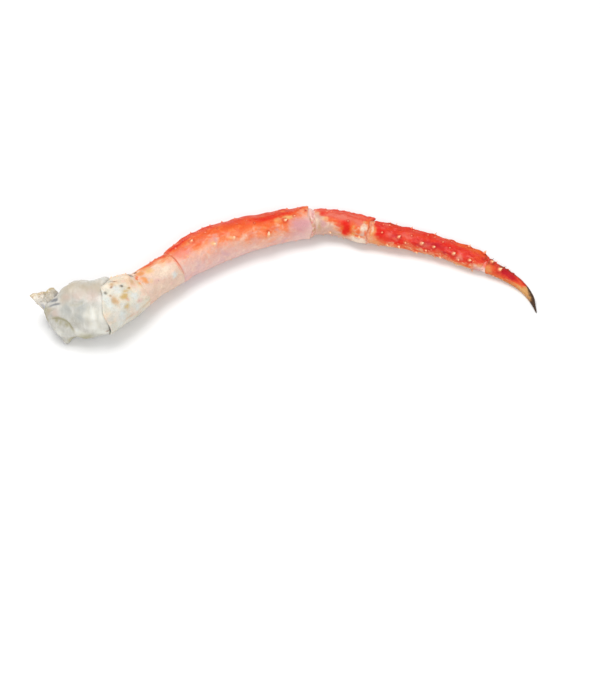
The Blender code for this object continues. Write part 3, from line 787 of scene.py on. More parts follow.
# Colours of each shell.
#   redTo         by share of the length, how many degrees the red reaches from the middle of the back,
#                 over the near side and over the far side
#   ragged        how far its edge strays, degrees
#   blend         degrees over which the ground goes up by 1
#   ground        colours from the pale side, below 0, to the red side: place, red, green, blue
#   redTints      clouds in the red and in the pale, with their sizes in mm in blots
#   clouded       how strong they are, and stirred how far they move the ground
#   specks        small pale grains
#   patchEdge     where a patch starts to show, and where it is full
#   patches       share of the length, degrees, half length and half width in mm, strength
shellLook = {
    "coxa": {
        "redTo": [(0, -70, -70), (0.6, -56, -40), (0.85, -20, -10), (1, 16, 26)],
        "ragged": 26, "blend": 62,
        "ground": [(-3, 226, 223, 212), (-2.1, 238, 229, 212), (-1.2, 242, 226, 204),
            (-0.5, 242, 214, 188), (0.4, 238, 194, 164), (1.4, 240, 164, 128)],
        "redTints": [(236, 178, 150), (238, 206, 190), (236, 150, 112), (246, 226, 212)],
        "paleTints": [(224, 226, 222), (246, 222, 204), (224, 200, 166), (248, 240, 226)],
        "patchEdge": (0.06, 1.15), "blots": (10, 8, 6, 4.4), "specks": 0.03,
        "patches": {
            # white on the coxa: its own bluish white, with painted highlight along its root
            "white": [(0, 110, 3.4, 18, 0.9), (0, 180, 3, 12, 0.8), (0.34, 97, 3.6, 4.4, 1.1),
                (0.67, 133, 4.2, 3, 1.1), (0.62, 160, 4.6, 4, 0.9), (0.1, 160, 4.6, 7, 0.9),
                (0.22, 140, 2.6, 4, 0.7), (0.3, 320, 6, 5, 0.8), (0.6, 240, 7, 6, 0.7)],
            "blush": [(0.8, 96, 3, 6, 0.9), (0.9, 132, 3, 5, 0.8), (0.6, 76, 4, 3, 0.7),
                (0.5, 180, 8, 3, 0.6)],
            "tan": [(0.14, 118, 2.8, 4.6, 1), (0.34, 76, 3, 1.6, 0.9), (0.8, 86, 1.6, 4, 0.9),
                (0.3, 178, 5, 2, 0.6), (0.86, 176, 6, 2, 0.6), (0.5, 340, 2.2, 5, 0.7)],
            "ochre": [(0.4, 120, 3.4, 2.4, 1.2), (0.5, 110, 3.4, 1.6, 1), (0.3, 144, 3.4, 1.8, 1),
                (0.64, 105, 2.2, 1.4, 0.9)],
            "coral": [(0.42, 132, 2, 1.6, 0.5)],
            "gold": [(0.95, 100, 3, 5, 0.6), (0.5, 300, 4, 3, 0.9), (0.8, 340, 3, 2.6, 0.8)],
            "brown": [(0.45, 70, 2.6, 0.9, 0.9), (0.28, 82, 1.4, 0.8, 0.8), (0.66, 104, 1.6, 0.8, 0.7),
                (0.12, 100, 1, 1.4, 0.7), (0.6, 320, 1.6, 1, 0.8)],
            "grey": [(0.5, 92, 1.5, 1.2, 1.1), (0.892, 64, 2.2, 1.6, 1.1), (0.08, 86, 1.4, 1.6, 1),
                (0.36, 66, 2.6, 0.9, 0.7), (0.4, 290, 1.6, 1.2, 0.8)],
            "orange": [(1, 104, 2, 3, 0.8), (0.97, 80, 1.8, 2, 1), (0.92, 62, 1.4, 1.4, 0.8),
                (0.96, 340, 3, 4, 0.7)],
            "mauve": [(0.74, 148, 3, 2, 0.6)],
        },
    },
    "ischium": {
        "redTo": [(0, 8, 20), (0.3, 30, 40), (0.65, 46, 52), (1, 62, 60)],
        "ragged": 9, "blend": 22,
        "ground": [(-2.2, 236, 212, 196), (-1, 248, 218, 202), (-0.2, 248, 206, 174), (0.5, 242, 156, 104),
            (1.6, 236, 106, 66)],
        "redTints": [(246, 150, 112), (240, 180, 140), (228, 84, 46), (248, 200, 160)],
        "paleTints": [(248, 234, 224), (238, 200, 186), (230, 206, 182), (250, 226, 206)],
        "blots": (11, 8, 6, 3), "specks": 0.1,
        "patches": {
            "apricot": [(0.1, 100, 3, 4.5, 1), (0.15, 68, 3.4, 4, 1.1), (0.1, 340, 3.5, 4, 0.8),
                (0.34, 60, 4, 3, 0.7)],
            "orange": [(0.03, 74, 1.4, 1.6, 1)],
            "brown": [(0.13, 49, 1.5, 1.3, 1), (0.05, 62, 1, 0.9, 0.6)],
            "gold": [(0.36, 84, 4.5, 3.6, 0.8), (0.22, 120, 2.8, 2.6, 0.5), (0.3, 320, 4, 3, 0.6)],
            "cream": [(0.62, 118, 9, 4.6, 0.8), (0.3, 160, 7, 4, 0.4)],
            # white on the ischium is painted highlight
            "white": [(0.79, 143, 3.4, 2.6, 0.9), (0.52, 136, 4, 1.6, 0.4)],
            "mauve": [(0.34, 132, 5, 2, 0.5), (0.7, 170, 7, 3, 0.4)],
            "pink": [(0.85, 95, 4, 3, 0.5), (0.98, 120, 1.3, 9, 0.5)],
            "coral": [(0.965, 112, 0.45, 13, 0.6), (1, 116, 0.6, 14, 0.8), (0.99, 320, 0.8, 12, 0.8)],
            "grey": [(0.36, 134, 0.9, 0.9, 0.5)],
        },
    },
    "merus": {
        "redTo": [(0, 60, 58), (0.2, 80, 70), (0.36, 93, 78), (0.5, 105, 85), (0.72, 122, 84),
            (0.83, 116, 70), (0.91, 88, 52), (0.96, 58, 38), (1, 40, 34)],
        "ragged": 11, "blend": 22,
        "ground": [(-3, 238, 206, 200), (-1.6, 240, 200, 186), (-0.6, 245, 188, 162), (0.2, 246, 162, 118),
            (1.1, 244, 136, 82), (2.3, 242, 114, 58), (3.6, 234, 90, 44)],
        "redTints": [(246, 152, 92), (230, 72, 34), (246, 132, 108), (250, 184, 122)],
        "paleTints": [(218, 184, 198), (246, 214, 194), (240, 180, 164), (248, 226, 212)],
        "blots": (11, 8, 6, 4), "stirred": 0.8, "clouded": 0.55,
        "patches": {
            "deep": [(0.7, 86, 10, 3.6, 0.9), (0.62, 74, 8, 2, 0.6), (0.84, 72, 9, 2.4, 0.7),
                (0.1, 52, 16, 2.4, 0.8), (0.4, 56, 14, 2, 0.5), (0.6, 340, 14, 3, 0.6)],
            "pink": [(0.06, 92, 10, 6, 0.8), (0.22, 96, 9, 3.6, 0.6), (0.36, 136, 12, 3, 0.4),
                (0.8, 98, 4, 1.6, 0.6)],
            "orange": [(0.197, 104, 3.6, 1.8, 1), (0.46, 90, 14, 4, 0.6), (0.66, 106, 9, 3, 0.7),
                (0.11, 92, 2, 1.2, 0.6)],
            "gold": [(0.857, 95, 4.8, 2, 1.2), (0.78, 100, 4, 1.8, 0.7), (0.15, 80, 3, 1.6, 0.6),
                (0.29, 120, 3, 2, 0.8), (0.43, 124, 3, 1.6, 0.6), (0.675, 121, 3, 1.4, 0.5),
                (0.79, 108, 4, 1.4, 0.6), (0.56, 320, 4, 2.2, 0.6), (0.2, 300, 5, 2.6, 0.6)],
            "cream": [(0.3, 126, 2.4, 1.8, 0.6), (0.45, 128, 2.4, 1.9, 0.6), (0.02, 140, 2, 6, 0.5)],
            "mauve": [(0.93, 128, 10, 6.5, 1), (0.9, 160, 13, 5, 0.6), (0.36, 158, 26, 4, 0.35),
                (0.9, 280, 12, 7, 0.8)],
            "magenta": [(0.955, 52, 4, 1, 0.7), (0.93, 58, 3, 0.9, 0.5), (0.985, 66, 1.4, 2, 0.8)],
            "coral": [(0, 110, 0.6, 15, 0.8), (0, 320, 0.8, 12, 0.8), (0.06, 112, 3, 2, 0.5)],
        },
    },
    "carpus": {
        "redTo": [(0, 26, 24), (0.08, 36, 34), (0.13, 64, 50), (0.29, 98, 80), (0.52, 124, 100),
            (0.63, 144, 104), (0.76, 134, 96), (0.86, 96, 78), (1, 66, 60)],
        "ragged": 7, "blend": 20,
        "ground": [(-2.4, 222, 188, 174), (-1.1, 230, 188, 166), (-0.4, 240, 178, 140),
            (0.15, 242, 144, 92), (0.9, 241, 118, 80), (2, 242, 110, 88), (3.6, 234, 88, 60)],
        "redTints": [(248, 146, 124), (234, 68, 40), (246, 158, 112), (248, 120, 100)],
        "paleTints": [(222, 196, 198), (244, 218, 198), (240, 186, 158), (250, 228, 210)],
        "blots": (9, 7, 5, 3.4), "patchEdge": (0.08, 1),
        "patches": {
            "deep": [(0.6, 120, 4.4, 3.6, 1.2), (0.67, 138, 4.4, 4.6, 1.3), (0.63, 162, 3, 4, 1),
                (0.14, 84, 3.6, 2.8, 0.9), (0.6, 340, 5, 3, 0.7)],
            "gold": [(0.78, 128, 1.6, 3, 0.6), (0.8, 160, 1.6, 2.6, 0.6), (0.95, 88, 2.6, 2, 0.7),
                (0.19, 112, 4, 1.4, 0.6), (0.8, 300, 3, 3, 0.7)],
            "cream": [(0.95, 116, 3, 3.2, 1.1), (0.9, 184, 6.5, 2.6, 1.2), (0.2, 150, 4, 3, 0.5),
                (0.02, 130, 2.2, 6, 0.6), (0.95, 300, 3, 4, 0.9)],
            "tan": [(0.06, 150, 2, 5, 0.7), (0.45, 186, 9, 1.6, 0.6)],
            "pink": [(0.52, 92, 11, 3.6, 1), (0.8, 96, 6, 3.6, 0.9), (0.28, 88, 6, 2.6, 0.8),
                (0.3, 54, 14, 1.6, 0.5), (0.7, 60, 10, 1.8, 0.6)],
            "mauve": [(0.14, 140, 4, 3, 0.7), (0.3, 240, 8, 6, 0.6)],
            "orange": [(0.36, 120, 6, 2.4, 0.7), (0.76, 132, 3, 4.6, 1), (0.55, 148, 2.2, 3.6, 0.8),
                (0.88, 140, 2.6, 3, 1), (0.86, 162, 6, 1, 1), (1, 142, 1.2, 3, 0.9),
                (0.99, 84, 1.6, 5, 0.9), (1.03, 110, 0.6, 16, 1.1)],
            "coral": [(0.985, 150, 0.8, 4, 0.8)],
        },
    },
    "propodus": {
        "redTo": [(0, 60, 50), (0.04, 110, 100), (0.1, 146, 120), (0.5, 150, 122), (0.88, 146, 120),
            (0.96, 116, 100), (1, 96, 80)],
        "ragged": 9, "blend": 24,
        "ground": [(-1.8, 238, 186, 156), (-0.7, 240, 158, 114), (0.1, 238, 122, 78), (0.9, 236, 90, 60),
            (2, 232, 70, 54), (4, 234, 80, 50)],
        "redTints": [(242, 112, 96), (212, 30, 30), (244, 112, 62), (244, 128, 130)],
        "clouded": 0.85, "blots": (7, 5, 4, 2.4),
        "paleTints": [(242, 196, 160), (240, 160, 130), (230, 110, 60), (248, 214, 180)],
        "patches": {
            # the long thin deep streaks at 60, 84 and 100 degrees are painted shade below the top edge; the
            # rest are the shell's darker red
            "deep": [(0.08, 120, 6, 5, 0.9), (0.25, 150, 6, 3, 0.8), (0.62, 100, 16, 1.8, 0.7),
                (0.45, 60, 14, 1.8, 0.7), (0.75, 84, 12, 1.6, 0.6), (0.9, 150, 5, 2, 0.5)],
            "pink": [(0.31, 112, 6, 3, 0.7), (0.48, 134, 6, 2, 0.8), (0.8, 148, 3.4, 2.4, 1),
                (0.16, 126, 4, 2.4, 0.6), (0.22, 140, 3, 2, 0.6), (0.6, 150, 3, 1.6, 0.6),
                (0.34, 84, 3, 1.6, 0.5), (0.12, 52, 5, 1.6, 0.7), (0.38, 54, 7, 1.4, 0.6),
                (0.54, 60, 5, 1.4, 0.5), (0.1, 90, 3, 2, 0.5)],
            "magenta": [(0.56, 122, 9, 2.6, 0.9), (0.66, 148, 6, 1.8, 0.8), (0.22, 128, 6, 2, 0.6),
                (0.4, 150, 8, 1.6, 0.5)],
            "orange": [(0, 100, 0.9, 16, 1.1), (0.86, 44, 14, 4, 1.1), (0.62, 36, 12, 1.6, 0.8),
                (0.4, 90, 6, 2, 0.4), (0.95, 96, 4, 3, 0.5), (0.86, 184, 9, 1.8, 0.8)],
            "gold": [(0.905, 30, 6, 1.6, 0.7), (0.31, 144, 2.2, 1.6, 0.5), (0.83, 196, 8, 1.6, 0.8),
                (0.14, 190, 5, 1.4, 0.6)],
            "cream": [(0.012, 112, 1.6, 5, 0.7), (0.99, 178, 3.4, 3, 0.9), (0.95, 156, 2.4, 2, 0.7),
                (0.79, 152, 1.6, 1, 0.6)],
            "apricot": [(0.02, 126, 3, 7, 0.9), (0.05, 180, 5, 3, 0.8), (0.34, 150, 3, 1.6, 0.5)],
            "brown": [(1, 60, 1.2, 4, 0.7), (0.985, 40, 2, 0.7, 0.8), (0.18, 42, 9, 0.8, 0.6)],
            "mauve": [(0.97, 186, 4, 3, 0.9)],
        },
    },
    "dactylus": {
        "redTo": [(0, 150, 150), (0.45, 160, 160), (0.56, 120, 120), (0.62, 20, 20), (0.7, -60, -60),
            (1, -60, -60)],
        "ragged": 14, "blend": 26,
        "ground": [(-1.6, 222, 174, 116), (-0.5, 226, 150, 88), (0.2, 236, 120, 66), (1.2, 236, 98, 62),
            (3, 230, 84, 56)],
        "redTints": [(238, 112, 84), (208, 40, 44), (244, 136, 86), (232, 110, 104)],
        "clouded": 0.75, "blots": (6, 4.4, 3.4, 2),
        "paleTints": [(238, 196, 140), (210, 146, 82), (230, 178, 112), (246, 216, 172)],
        "patches": {
            "magenta": [(0.25, 92, 4, 2.8, 1.5), (0.36, 104, 5.6, 2.8, 1), (0.45, 108, 4, 1.8, 0.7),
                (0.34, 60, 6, 1.8, 0.7), (0.3, 300, 7, 2.4, 0.7)],
            "brown": [(0.02, 60, 2.2, 1.8, 1.1), (0.06, 84, 1.6, 1.2, 1), (0, 84, 1, 3, 0.8),
                (0.21, 56, 3.6, 1.8, 1.5), (0.32, 50, 7, 1.2, 1.4), (0.44, 46, 6, 0.8, 1)],
            "orange": [(0.1, 120, 5, 3, 0.6), (0.5, 130, 5, 2.4, 0.8), (0.2, 170, 8, 1.8, 0.7)],
            "gold": [(0.56, 150, 5, 1.8, 0.8), (0.6, 100, 3, 1.6, 0.5), (0.62, 320, 4, 2, 0.6)],
            "apricot": [(0.03, 150, 4, 4, 0.9), (0.48, 152, 9, 1.6, 0.8)],
            "horn": [(0.72, 46, 9, 1.6, 1.2), (0.8, 64, 7, 2.4, 1.2), (0.9, 90, 7, 9, 1.2),
                (1, 90, 8, 12, 1.4), (0.83, 320, 5, 2.6, 1)],
        },
    },
}


def shellFinish(name):
    look = shellLook[name]
    constants = softness(0.16, 0.10, (1.0, 0.45, 0.3), 1.6)
    constants["Specular IOR Level"] = 0.14
    finish = Finish(name + " shell", constants)
    place = finish.unrolled()
    clouds = finish.noise(finish.unrolled((0.6, 1, 1)), 8.0, 4.0)
    streaks = finish.noise(finish.unrolled((0.4, 1.2, 1.2)), 3.4, 3.0)
    mottle = finish.noise(place, 2.4, 4.0, 0.65)
    grain = finish.noise(place, 0.8, 3.0, 0.6)
    stirred = clouds * 4.0 + streaks * 2.6 + mottle * 0.9 + grain * 0.3
    red = finish.attribute("red") + stirred * look.get("stirred", 1.0)
    low, high = look["ground"][0][0], look["ground"][-1][0]
    ground = stops(*[((at - low) / (high - low), *shade) for at, *shade in look["ground"]])
    colour = finish.ramp((red - low) * (1 / (high - low)), ground)
    # clouds and flecks of other tints in the red and in the pale
    reddish = red.step(0.2, 1.6)
    for zone, tints in ((reddish, look["redTints"]), (1 - reddish, look["paleTints"])):
        for size, tint in zip(look.get("blots", (6.5, 4.6, 3.3, 1.9)), tints):
            blots = finish.noise(finish.unrolled((0.7, 1, 1)), size, 3.0, 0.5, 0.6)
            colour = finish.tint(colour, blots.step(0.0, 0.26) * zone * look.get("clouded", 0.62), *tint)
    broken = mottle * 1.0 + clouds * 0.5 + grain * 0.5
    # patches of other tints; the white ones are partly painted highlight
    for kind, tint in patchTones.items():
        if kind in look["patches"]:
            mask = (finish.attribute(kind) + broken * 0.6).step(*look.get("patchEdge", (0.14, 0.98)))
            colour = finish.tint(colour, mask * 0.9, *tint)
    # round each thorn a darker ring, then orange, then cream, and a scatter of small pale grains
    halo = finish.attribute("halo") + broken * 0.4
    colour = finish.tint(colour, halo.step(0.03, 0.14) * 0.4 * reddish, 202, 56, 36)
    colour = finish.tint(colour, halo.step(0.2, 0.6) * (reddish * 0.45 + 0.15), 244, 142, 108)
    colour = finish.tint(colour, halo.step(0.55, 0.95) * 0.7, 248, 200, 160)
    specks = 1 - finish.dots(place, 1.9).step(0.12, 0.3)
    speckled = (finish.noise(place, 6.0) + 0.5).step(0.4, 0.6)
    colour = finish.tint(colour, specks * speckled * look.get("specks", 0.12), 250, 216, 186)
    pits = finish.dots(place, 1.1).step(0.0, 0.5)
    # the shell's own darker mottling, multiplied in with painted shade in the small pits that the bump
    # dents in
    worn = grain * 0.36 + mottle * 0.4 + (pits - 1) * 0.12 + 0.56
    mottleAndPitShade = [(0.3, (0.70, 0.66, 0.62, 1)), (0.5, (0.84, 0.84, 0.84, 1)), (0.75, (0.95, 0.95, 0.95, 1))]
    colour = finish.mix(1.0, colour, finish.ramp(worn, mottleAndPitShade), "MULTIPLY")
    height = grain * 1.2 + mottle * 0.7 + pits * 0.35 + specks * 0.3
    return finish.wear(colour=finish.deeper(colour), roughness=0.42 + mottle * 0.3,
                       coat=0.06 + clouds * 0.3, normal=finish.bump(height, 0.2))


def thornFinish():
    finish = Finish("thorn", softness(0.12, 0.1, (1.0, 0.6, 0.4), 1.2))
    rise = finish.attribute("rise")
    mottle = finish.noise(finish.inSpace(), 0.9, 2.0)
    red = finish.ramp(rise, stops((0.0, 236, 92, 56), (0.7, 240, 120, 72), (1.0, 244, 170, 110)))
    cream = finish.attribute("cream")
    pale = stops((0.0, 242, 164, 124), (0.35, 248, 204, 160), (0.8, 250, 226, 192))
    pale = finish.ramp(rise + mottle * 0.2, pale)
    colour = finish.mix(cream, red, pale)
    point = (rise + finish.attribute("dark") - 1 + mottle * 0.04).step(0.88, 0.97)
    colour = finish.tint(colour, point, 52, 34, 26)
    return finish.wear(colour=finish.deeper(colour), roughness=0.3 + mottle * 0.1, coat=0.4)


slots = {"coxa": "pale_shell", "ischium": "pale_shell", "dactylus": "claw"}


def thornMesh(nodeName):
    # cones with a spread foot, leaning towards the claw
    rings, sides = thornForm["rings"], thornForm["sides"]
    draw = random.Random("lean of the " + nodeName)
    points, faces = [], []
    looks = {"rise": [], "cream": [], "dark": []}
    for fromRoot, angle, height, foot, cream, upward in placesOfThorns(nodeName):
        base, out = pointOnShell(nodeName, fromRoot, angle, lift=0.16 * height)
        ahead = onLine(legAhead, [shells[nodeName].start + fromRoot])[0]
        aside = np.cross(out, ahead)
        forward = thornForm["forward"] * (2.0 if cream > 0.85 else 1.0)
        forward = 0.0 if upward > 1 else forward * draw.uniform(0.5, 1.3)
        lean = ahead * forward + aside * (draw.uniform(-0.12, 0.12) + upward)
        first = len(points)
        for ring in range(rings):
            t = ring / (rings - 1)
            width = foot * (0.62 * (1 - t ** 3) if upward > 1 else 0.95 * (1 - t) ** 1.05 + 0.05)
            raised = t * (1 + thornForm["sunk"]) - thornForm["sunk"]
            centre = base + (out * raised + lean * t ** 1.6) * height
            for side in range(sides):
                turn = 2 * math.pi * side / sides
                points.append(centre + (ahead * math.cos(turn) + aside * math.sin(turn)) * width)
        points.append(base + (out * 1.07 + lean * 1.05) * height)
        for ring in range(rings - 1):
            here = list(range(first + ring * sides, first + (ring + 1) * sides))
            faces += bridge(here, [i + sides for i in here])
        top = first + (rings - 1) * sides
        faces += bridge(list(range(top, top + sides)), [len(points) - 1] * sides)
        faces.append(tuple(range(first, first + sides))[::-1])
        onPale = slots.get(nodeName) == "pale_shell"
        rises = [max(ring / rings, 0.4 if onPale else 0.0) for ring in range(rings)]
        looks["rise"] += np.repeat(rises, sides).tolist() + [1.0]
        looks["cream"] += [max(cream, 0)] * (rings * sides + 1)
        dark = 1.7 if cream < 0 else 0.7 if upward > 1 or onPale else draw.uniform(0.9, 1.14)
        looks["dark"] += [dark] * (rings * sides + 1)
    made = bpy.data.meshes.new(nodeName + "_thorns")
    made.from_pydata(insideSolids(np.array(points)).tolist(), [], faces)
    for name, values in looks.items():
        writeAttribute(made, name, values)
    return made


thornMaterial = thornFinish()
skins = {name: Skin(name) for name in shellNodes}
for name, skin in skins.items():
    slot = slots.get(name, "red_shell")
    addPiece(name + "_shell", skin.mesh(), slot, shellFinish(name), name)
    addPiece(name + "_thorns", thornMesh(name), slot, thornMaterial)


# The soft joints.

# Each joint's skin runs from inside one shell to inside the next. width is its share of their girth
# there, folds how many wrinkles cross it and depth how deep they are in mm, tuck how far it reaches into
# the shells in mm, and reach how far the top colour comes down.
jointForm = {
    "knee_membrane": {
        "between": ("merus", "carpus"), "width": 0.985, "folds": 2.5, "depth": 0.4, "tuck": 2.6,
        # below its pink top the knee's ground runs to tan: painted shade in the gap between merus and
        # carpus, over the membrane's own pink and tan
        "pale": ((176, 134, 98), (206, 158, 134), (226, 192, 180)),
        "top": (226, 178, 170), "dots": (214, 106, 122),
    },
    "wrist_membrane": {
        "between": ("carpus", "propodus"), "width": 1, "folds": 1.5, "depth": 0.25, "tuck": 2.2,
        "pale": ((214, 130, 92), (230, 160, 118), (238, 190, 152)),
        "top": (226, 140, 98), "reach": (-0.95, -0.3), "dots": (196, 90, 60),
    },
    "claw_membrane": {
        "between": ("propodus", "dactylus"), "width": 0.96, "folds": 2, "depth": 0.25, "tuck": 2.4,
        "pale": ((220, 172, 160), (236, 202, 190), (242, 220, 206)),
        "top": (222, 84, 50), "reach": (-0.75, -0.25), "dots": (206, 130, 130),
    },
}


jointGrid = (34, 150)  # rows and columns of each skin


def jointMesh(name):
    form = jointForm[name]
    before, after = (shells[shell] for shell in form["between"])
    ends = [(skins[shell], row) for shell, row in zip(form["between"], (-1, 0))]
    rows, columns = jointGrid
    turn = turnsOf(columns)
    edges = [np.interp(turn, skin.angle[row], skin.along[row], period=2 * np.pi) for skin, row in ends]
    girth = [np.interp(turn, skin.angle[row], skin.girth[row], period=2 * np.pi) for skin, row in ends]
    start = np.minimum(before.edge(before.tips, turn), edges[0]) - form["tuck"] * mm
    end = np.maximum(after.edge(after.roots, turn), edges[1]) + form["tuck"] * mm
    share = np.linspace(0, 1, rows)[:, None]
    along = start + (end - start) * share
    angle = np.broadcast_to(turn, along.shape)
    blend = np.clip((share - 0.2) / 0.6, 0, 1)
    radius = (girth[0] * (1 - blend) + girth[1] * blend) * form["width"]
    flat = np.stack((along.ravel() / mm, 9 * np.cos(angle).ravel(), 9 * np.sin(angle).ravel()), -1)
    crumple = noiseAt(flat, 5.0, 3.3).reshape(along.shape)
    fold = np.sin(2 * np.pi * form["folds"] * share + 2.4 * crumple)
    fine = noiseAt(flat * (2.2, 1, 1), 1.6, 8.1).reshape(along.shape)
    inside = np.minimum(share, 1 - share) * 2
    radius = radius + (form["depth"] * fold + 0.16 * fine) * mm * inside - 0.8 * mm * (1 - inside) ** 3
    back = onLine(legBack, along.ravel())
    out = back * np.cos(angle).ravel()[:, None] + up * np.sin(angle).ravel()[:, None]
    points = insideSolids(onLine(legLine, along.ravel()) + out * radius.ravel()[:, None])
    index = gridIndex(rows, columns)
    faces = []
    for row in range(rows - 1):
        faces += bridge(index[row].tolist(), index[row + 1].tolist())
    middles = [points[index[row]].mean(0) for row in (0, -1)]
    faces += bridge(index[0][::-1].tolist(), [rows * columns] * columns)
    faces += bridge(index[-1].tolist(), [rows * columns + 1] * columns)
    made = bpy.data.meshes.new(name)
    made.from_pydata(np.concatenate((points, middles)).tolist(), [], [face[::-1] for face in faces])
    writeAttribute(made, "fold", np.concatenate((fold.ravel(), (0, 0))))
    writeAttribute(made, "red", np.concatenate((np.cos(angle.ravel() - math.radians(dorsal)), (0, 0))))
    return made


def jointFinish(name):
    form = jointForm[name]
    finish = Finish(name, softness(0.14, 0.25, (1.0, 0.6, 0.45), 2.0))
    place = finish.inSpace()
    clouds = finish.noise(place, 4.0, 3.0)
    fine = finish.noise(place, 1.0, 3.0)
    pale = stops(*[(at, *shade) for at, shade in zip((0.35, 0.5, 0.65), form["pale"])])
    colour = finish.ramp(clouds + 0.5, pale)
    top = (finish.attribute("red") + clouds).step(*form.get("reach", (-0.1, 0.6)))
    colour = finish.tint(colour, top * 0.9, *form["top"])
    # painted shade in the valleys of the wrinkles
    colour = finish.tint(colour, (finish.attribute("fold") * -1).step(0.4, 1.0) * 0.35, 200, 142, 124)
    dots = 1 - finish.dots(place, 3.4).step(0.14, 0.5)
    colour = finish.tint(colour, dots * (fine + 0.5).step(0.3, 0.6) * 0.75, *form["dots"])
    return finish.wear(colour=colour, roughness=0.42 + fine * 0.3, coat=0.15, normal=finish.bump(fine, 0.1))


for name in jointForm:
    addPiece(name + "_skin", jointMesh(name), "joint_skin", jointFinish(name), name)


# The shoulder: soft white meat in a thin skin, and a broken flap of body wall.

shoulderLow, shoulderHigh = (np.array(corner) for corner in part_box("shoulder"))

# Places are shares of the shoulder's box, across, back and up.
shoulderForm = {
    "voxel": 0.75 * mm,
    # the solid's own flap is cut back to these places, across and back, for a thinner one
    "leftEdge": [(0, 0.24), (0.14, 0.27), (0.3, 0.215), (0.42, 0.2), (0.5, 0.27), (0.58, 0.37),
        (0.75, 0.43), (0.9, 0.46), (1, 0.48)],
    # folds: the colour painted along each as shade in its crease (slate for the shadow of the flap), half
    # width and depth in mm, how far one side stands over the other in mm, and places
    "folds": [
        ("olive", 1.3, 1.1, 1.8, [(0.24, 0.24, 0.52), (0.32, 0.19, 0.62), (0.39, 0.16, 0.66),
            (0.48, 0.12, 0.65), (0.53, 0.07, 0.6), (0.57, 0.02, 0.44), (0.56, 0, 0.28)]),
        ("dun", 1.4, 0.5, -0.8, [(0.49, 0.36, 0.88), (0.54, 0.3, 0.91), (0.6, 0.28, 0.93),
            (0.68, 0.29, 0.96), (0.74, 0.38, 0.98)]),
        ("slate", 1.5, 1, 0.4, [(0.41, 0.47, 0.8), (0.35, 0.48, 0.72), (0.28, 0.47, 0.6)]),
        ("slate", 0.9, 0.7, 0.2, [(0.45, 0.38, 0.8), (0.37, 0.4, 0.7), (0.3, 0.39, 0.6)]),
        ("dun", 0.7, 0.5, 0.2, [(0.38, 0.32, 0.72), (0.33, 0.33, 0.64), (0.29, 0.32, 0.56)]),
        ("dun", 2.6, 0.35, 0, [(0.74, 0.34, 0.98), (0.76, 0.2, 0.9), (0.75, 0.09, 0.74),
            (0.76, 0.03, 0.5)]),
        ("olive", 1, 0.6, 0.6, [(0.26, 0.42, 0.7), (0.22, 0.36, 0.6), (0.21, 0.3, 0.4),
            (0.25, 0.24, 0.22)]),
        ("dun", 1.8, 0.35, 0, [(0.84, 0.3, 0.94), (0.86, 0.16, 0.82), (0.88, 0.06, 0.62),
            (0.9, 0.02, 0.4)]),
        ("olive", 1.1, 1, 1.4, [(0.46, 0.92, 0.75), (0.55, 0.96, 0.6), (0.62, 0.99, 0.4), (0.6, 1, 0.2)]),
        ("dun", 1.4, 0.8, 0.8, [(0.7, 0.9, 0.9), (0.78, 0.98, 0.66), (0.8, 1, 0.4)]),
    ],
    # swellings: place, radius and height in mm
    "swellings": [(0.62, 0.58, 1, 9, 0.6), (0.8, 0.1, 0.7, 8, 0.8), (0.9, 0.94, 0.8, 9, 4.2),
        (0.76, 0.92, 0.86, 8, 1.4), (0.45, 0.84, 0.84, 9, -3.4), (0.37, 0.64, 0.7, 7, -2),
        (0.93, 0.42, 0.92, 6, 1), (0.5, 0.2, 0.8, 6, -0.7), (0.26, 0.26, 0.46, 6, -0.8),
        (0.6, 0.96, 0.7, 8, 0.9), (0.44, 0.92, 0.3, 8, -0.9), (0.45, 0, 0.02, 5, 3),
        (0.3, 0.06, 0.1, 6, -1.2), (0.58, 0, 0.1, 5, -0.9)],
    # places drawn out: place, radius mm, and the pull in mm
    "pulls": [((0.44, 0.14, 0.04), 7, (1, -7, -2)), ((0.16, 0.36, 0.5), 5, (-1, 1.5, 0))],
    # spots of colour: place and radius in mm
    "spots": {
        "beige": [(0.54, 0.66, 0.93, 11), (0.7, 0.6, 0.99, 10), (0.84, 0.66, 0.97, 9),
            (0.48, 0.46, 0.86, 6), (0.6, 0.95, 0.7, 9), (0.27, 0.3, 0.64, 4), (0.24, 0.34, 0.5, 6),
            (0.3, 0.6, 0.4, 6), (0.75, 0.98, 0.5, 8)],
        "pink": [(0.62, 0.46, 0.97, 6), (0.5, 0.46, 0.9, 5), (0.36, 0.22, 0.7, 5), (0.8, 0.46, 0.97, 7),
            (0.4, 0.86, 0.4, 6), (0.9, 0.9, 0.3, 6)],
        "grey": [(0.5, 0.24, 0.83, 7), (0.68, 0.25, 0.92, 6), (0.66, 0.1, 0.78, 5), (0.4, 0.98, 0.6, 4)],
        # olive spots: painted shade under the arched crease, by the flap and along the bottom
        "olive": [(0.36, 0.15, 0.6, 2.4), (0.43, 0.12, 0.58, 2.6), (0.49, 0.08, 0.56, 2.4),
            (0.22, 0.38, 0.56, 5), (0.23, 0.28, 0.44, 4), (0.7, 0, 0.2, 8), (0.55, 0, 0.1, 6),
            (0.3, 0.93, 0.3, 5)],
        # white spots on the shoulder are painted highlight on its lower front
        "white": [(0.8, 0.14, 0.84, 7), (0.83, 0.05, 0.6, 7), (0.92, 0.14, 0.76, 8), (0.9, 0.04, 0.4, 8),
            (0.64, 0.02, 0.4, 6), (0.38, 0.04, 0.36, 5), (0.98, 0.3, 0.9, 5)],
        "brown": [(1, 0.02, 0.42, 2.6)],
    },
}
shoulderTones = {
    "beige": (178, 164, 142), "pink": (192, 174, 162), "grey": (168, 170, 165), "white": (222, 221, 211),
    "dun": (172, 166, 146), "olive": (160, 154, 118), "slate": (108, 110, 116), "brown": (130, 84, 50),
}


def inShoulder(place):
    return shoulderLow + (shoulderHigh - shoulderLow) * np.array(place)


